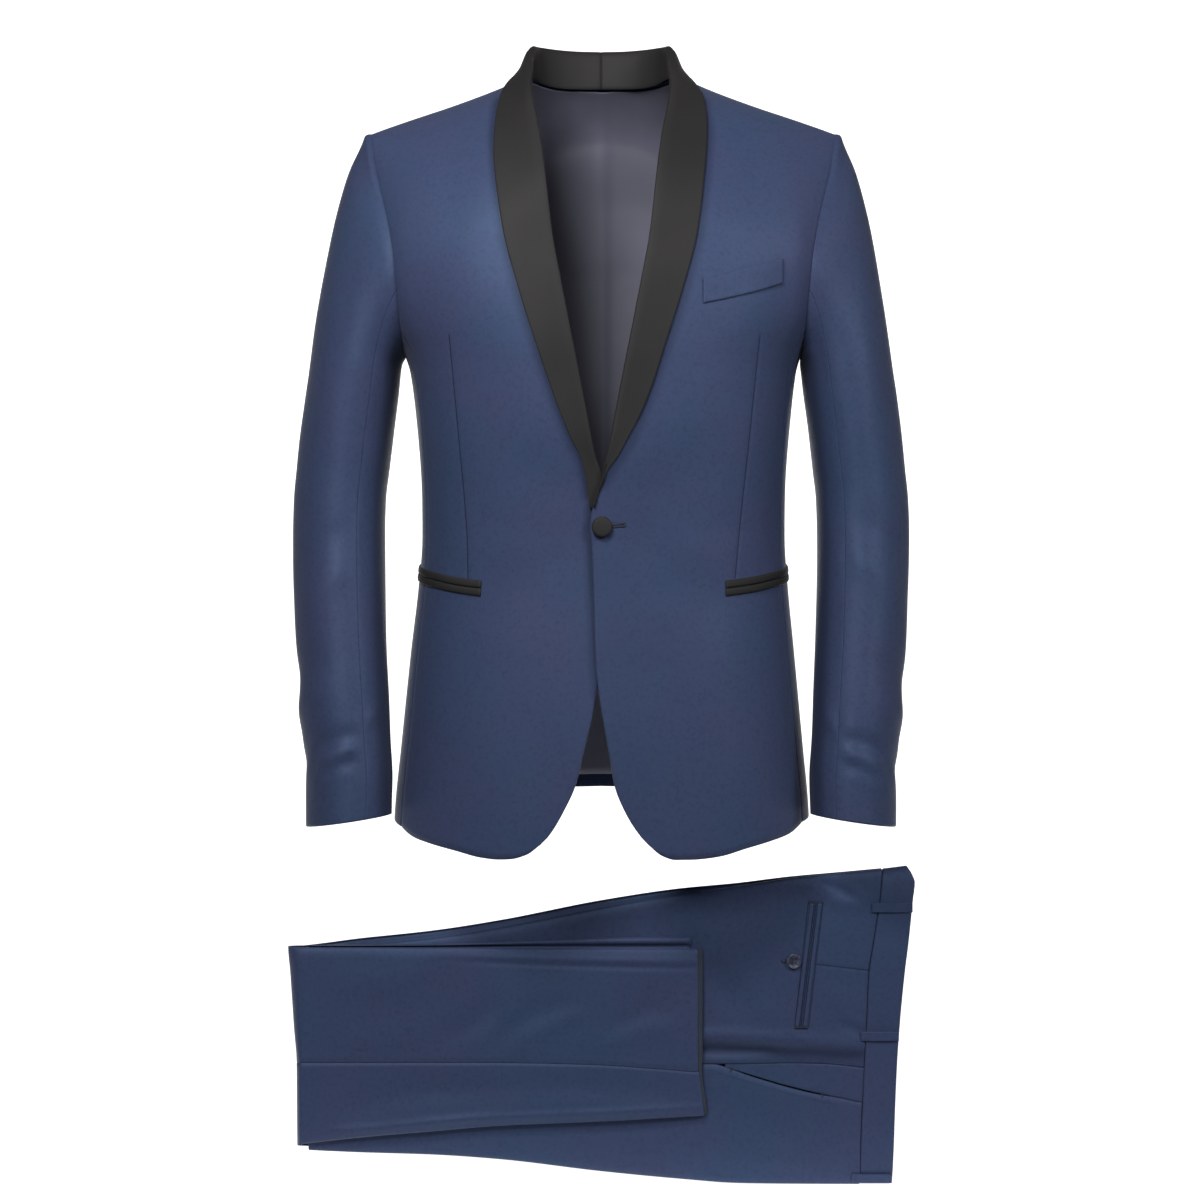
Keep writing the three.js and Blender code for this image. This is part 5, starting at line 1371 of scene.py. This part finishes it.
pocket_welts()
loop_z, loop_x = np.meshgrid(np.linspace(-861.4, -858.6, 9), np.linspace(180.4, 184.3, 9))
loop_grid = right_skin(loop_x, loop_z)
loop = cloth("back_pocket_button_loop", loop_grid, (0, -1, 0), NAVY_THREAD, rise=1.6, thick=1.2, ease=0.4)
finished(loop, "trouser_wool", "back_pocket_button_loop")
pocket_button = [
    (5.5, 0.0), (7.0, 0.6), (7.6, 1.4), (7.55, 2.3), (7.2, 2.9), (6.7, 3.2), (6.2, 3.1), (5.7, 2.6),
    (5.2, 2.1), (4.6, 1.9), (2.0, 1.9), (0.6, 1.9),
]
pocket_seat = right_skin(BUTTON_X, BUTTON_Z) - (0, 0.4, 0)
made = lathe("back_pocket_button", pocket_button, 48, pocket_seat, BUTTON_PLASTIC)
finished(made, "pocket_button", "back_pocket_button")

# Stitches: short threads laid along a path or across it, as one Geometry Nodes pattern.
# They edge the buttonhole, close the pocket ends and run below the slanted pocket.
def stitch_tree():
    tree = bpy.data.node_groups.new("stitches", "GeometryNodeTree")
    face = tree.interface
    face.new_socket("Path", in_out="INPUT", socket_type="NodeSocketGeometry")
    for name, value in (("Spacing", 0.002), ("Length", 0.0016), ("Thread", 0.0002), ("Turn", 0.0)):
        face.new_socket(name, in_out="INPUT", socket_type="NodeSocketFloat").default_value = value
    face.new_socket("Finish", in_out="INPUT", socket_type="NodeSocketMaterial")
    face.new_socket("Stitches", in_out="OUTPUT", socket_type="NodeSocketGeometry")
    nodes, links = tree.nodes, tree.links
    given = nodes.new("NodeGroupInput")
    out = nodes.new("NodeGroupOutput")
    spread = nodes.new("GeometryNodeCurveToPoints")
    spread.mode = "LENGTH"
    links.new(given.outputs["Path"], spread.inputs["Curve"])
    links.new(given.outputs["Spacing"], spread.inputs["Length"])
    thread = nodes.new("GeometryNodeMeshCylinder")
    thread.inputs["Vertices"].default_value = 8
    thread.inputs["Side Segments"].default_value = 4
    links.new(given.outputs["Thread"], thread.inputs["Radius"])
    links.new(given.outputs["Length"], thread.inputs["Depth"])
    lay = nodes.new("GeometryNodeTransform")
    links.new(thread.outputs["Mesh"], lay.inputs["Geometry"])
    lay.inputs["Rotation"].default_value = (0, math.radians(90), 0)
    aim = nodes.new("FunctionNodeAlignRotationToVector")
    aim.axis = "X"
    links.new(spread.outputs["Tangent"], aim.inputs["Vector"])
    turn = nodes.new("FunctionNodeRotateRotation")
    turn.rotation_space = "GLOBAL"
    about = nodes.new("FunctionNodeAxisAngleToRotation")
    about.inputs["Axis"].default_value = (0, 1, 0)
    links.new(given.outputs["Turn"], about.inputs["Angle"])
    links.new(aim.outputs["Rotation"], turn.inputs["Rotation"])
    links.new(about.outputs["Rotation"], turn.inputs["Rotate By"])
    copies = nodes.new("GeometryNodeInstanceOnPoints")
    links.new(spread.outputs["Points"], copies.inputs["Points"])
    links.new(lay.outputs["Geometry"], copies.inputs["Instance"])
    links.new(turn.outputs["Rotation"], copies.inputs["Rotation"])
    real = nodes.new("GeometryNodeRealizeInstances")
    links.new(copies.outputs["Instances"], real.inputs["Geometry"])
    finish = nodes.new("GeometryNodeSetMaterial")
    links.new(real.outputs["Geometry"], finish.inputs["Geometry"])
    links.new(given.outputs["Finish"], finish.inputs["Material"])
    links.new(finish.outputs["Geometry"], out.inputs["Stitches"])
    return tree


STITCHES = stitch_tree()


def stitches(name, path, slot, **sizes):
    curve = bpy.data.curves.new(name, "CURVE")
    curve.dimensions = "3D"
    spline = curve.splines.new("POLY")
    spline.points.add(len(path) - 1)
    spline.points.foreach_set("co", np.concatenate([path / 1000, np.ones((len(path), 1))], 1).ravel())
    carrier = bpy.data.objects.new(name + "_path", curve)
    scene.collection.objects.link(carrier)
    modifier = carrier.modifiers.new("stitches", "NODES")
    modifier.node_group = STITCHES
    ids = {item.name: item.identifier for item in STITCHES.interface.items_tree if item.in_out == "INPUT"}
    for key, value in {**sizes, "Finish": NAVY_THREAD.material}.items():
        modifier[ids[key]] = value
    bpy.context.view_layer.update()
    mesh = bpy.data.meshes.new_from_object(carrier.evaluated_get(bpy.context.evaluated_depsgraph_get()))
    bpy.data.objects.remove(carrier)
    mesh.polygons.foreach_set("use_smooth", np.ones(len(mesh.polygons), bool))
    made = bpy.data.objects.new(name, mesh)
    scene.collection.objects.link(made)
    return finished(made, slot)


def on_front(x, z, off):
    x, z = np.broadcast_arrays(np.asarray(x, float), np.asarray(z, float))
    return front_skin(1, x, z) + front_out(1, x, z) * off


def on_hip(x, z, off):
    return right_skin(x, z) + np.array([0, -off, 0])


hole_turn = np.linspace(-2.4, 2.4, 26)
hole = points(21.4 + 1.7 * np.cos(hole_turn), 0, -427.4 + 1.7 * np.sin(hole_turn))
hole_x = np.concatenate([np.linspace(9, 19.9, 14), hole[:, 0], np.linspace(19.9, 9, 14)])
hole_z = np.concatenate([np.linspace(-429.8, -428.6, 14), hole[:, 2], np.linspace(-426.2, -427.4, 14)])
stitches("buttonhole_stitches", on_front(hole_x, hole_z, 0.25), "jacket_wool",
         Spacing=0.0004, Length=0.0021, Thread=0.00024, Turn=math.pi / 2)
mouth_x = np.linspace(118, 232, 60)
TACK = {"Spacing": 0.00035, "Thread": 0.00022, "Turn": math.pi / 2}
stitches("slant_pocket_stitches", on_hip(mouth_x, pocket_mouth(mouth_x) - 7.6, 0.05), "trouser_wool",
         Spacing=0.0028, Length=0.0019, Thread=0.00016, Turn=0.0)
for number, (x, z) in enumerate(((221, -993.6), (130, -968.2))):
    path = on_hip(np.full(8, x), np.linspace(z - 2.6, z + 2.6, 8), 0.2)
    stitches(f"slant_pocket_tack_{number}", path, "trouser_wool", Length=0.0016, **TACK)
for number, (x, z) in enumerate(((214.4, -801.8), (199.6, -926.2))):
    path = on_hip(np.linspace(x - 6.5, x + 6.5, 8), z, 1.6)
    stitches(f"back_pocket_tack_{number}", path, "trouser_wool", Length=0.0018, **TACK)
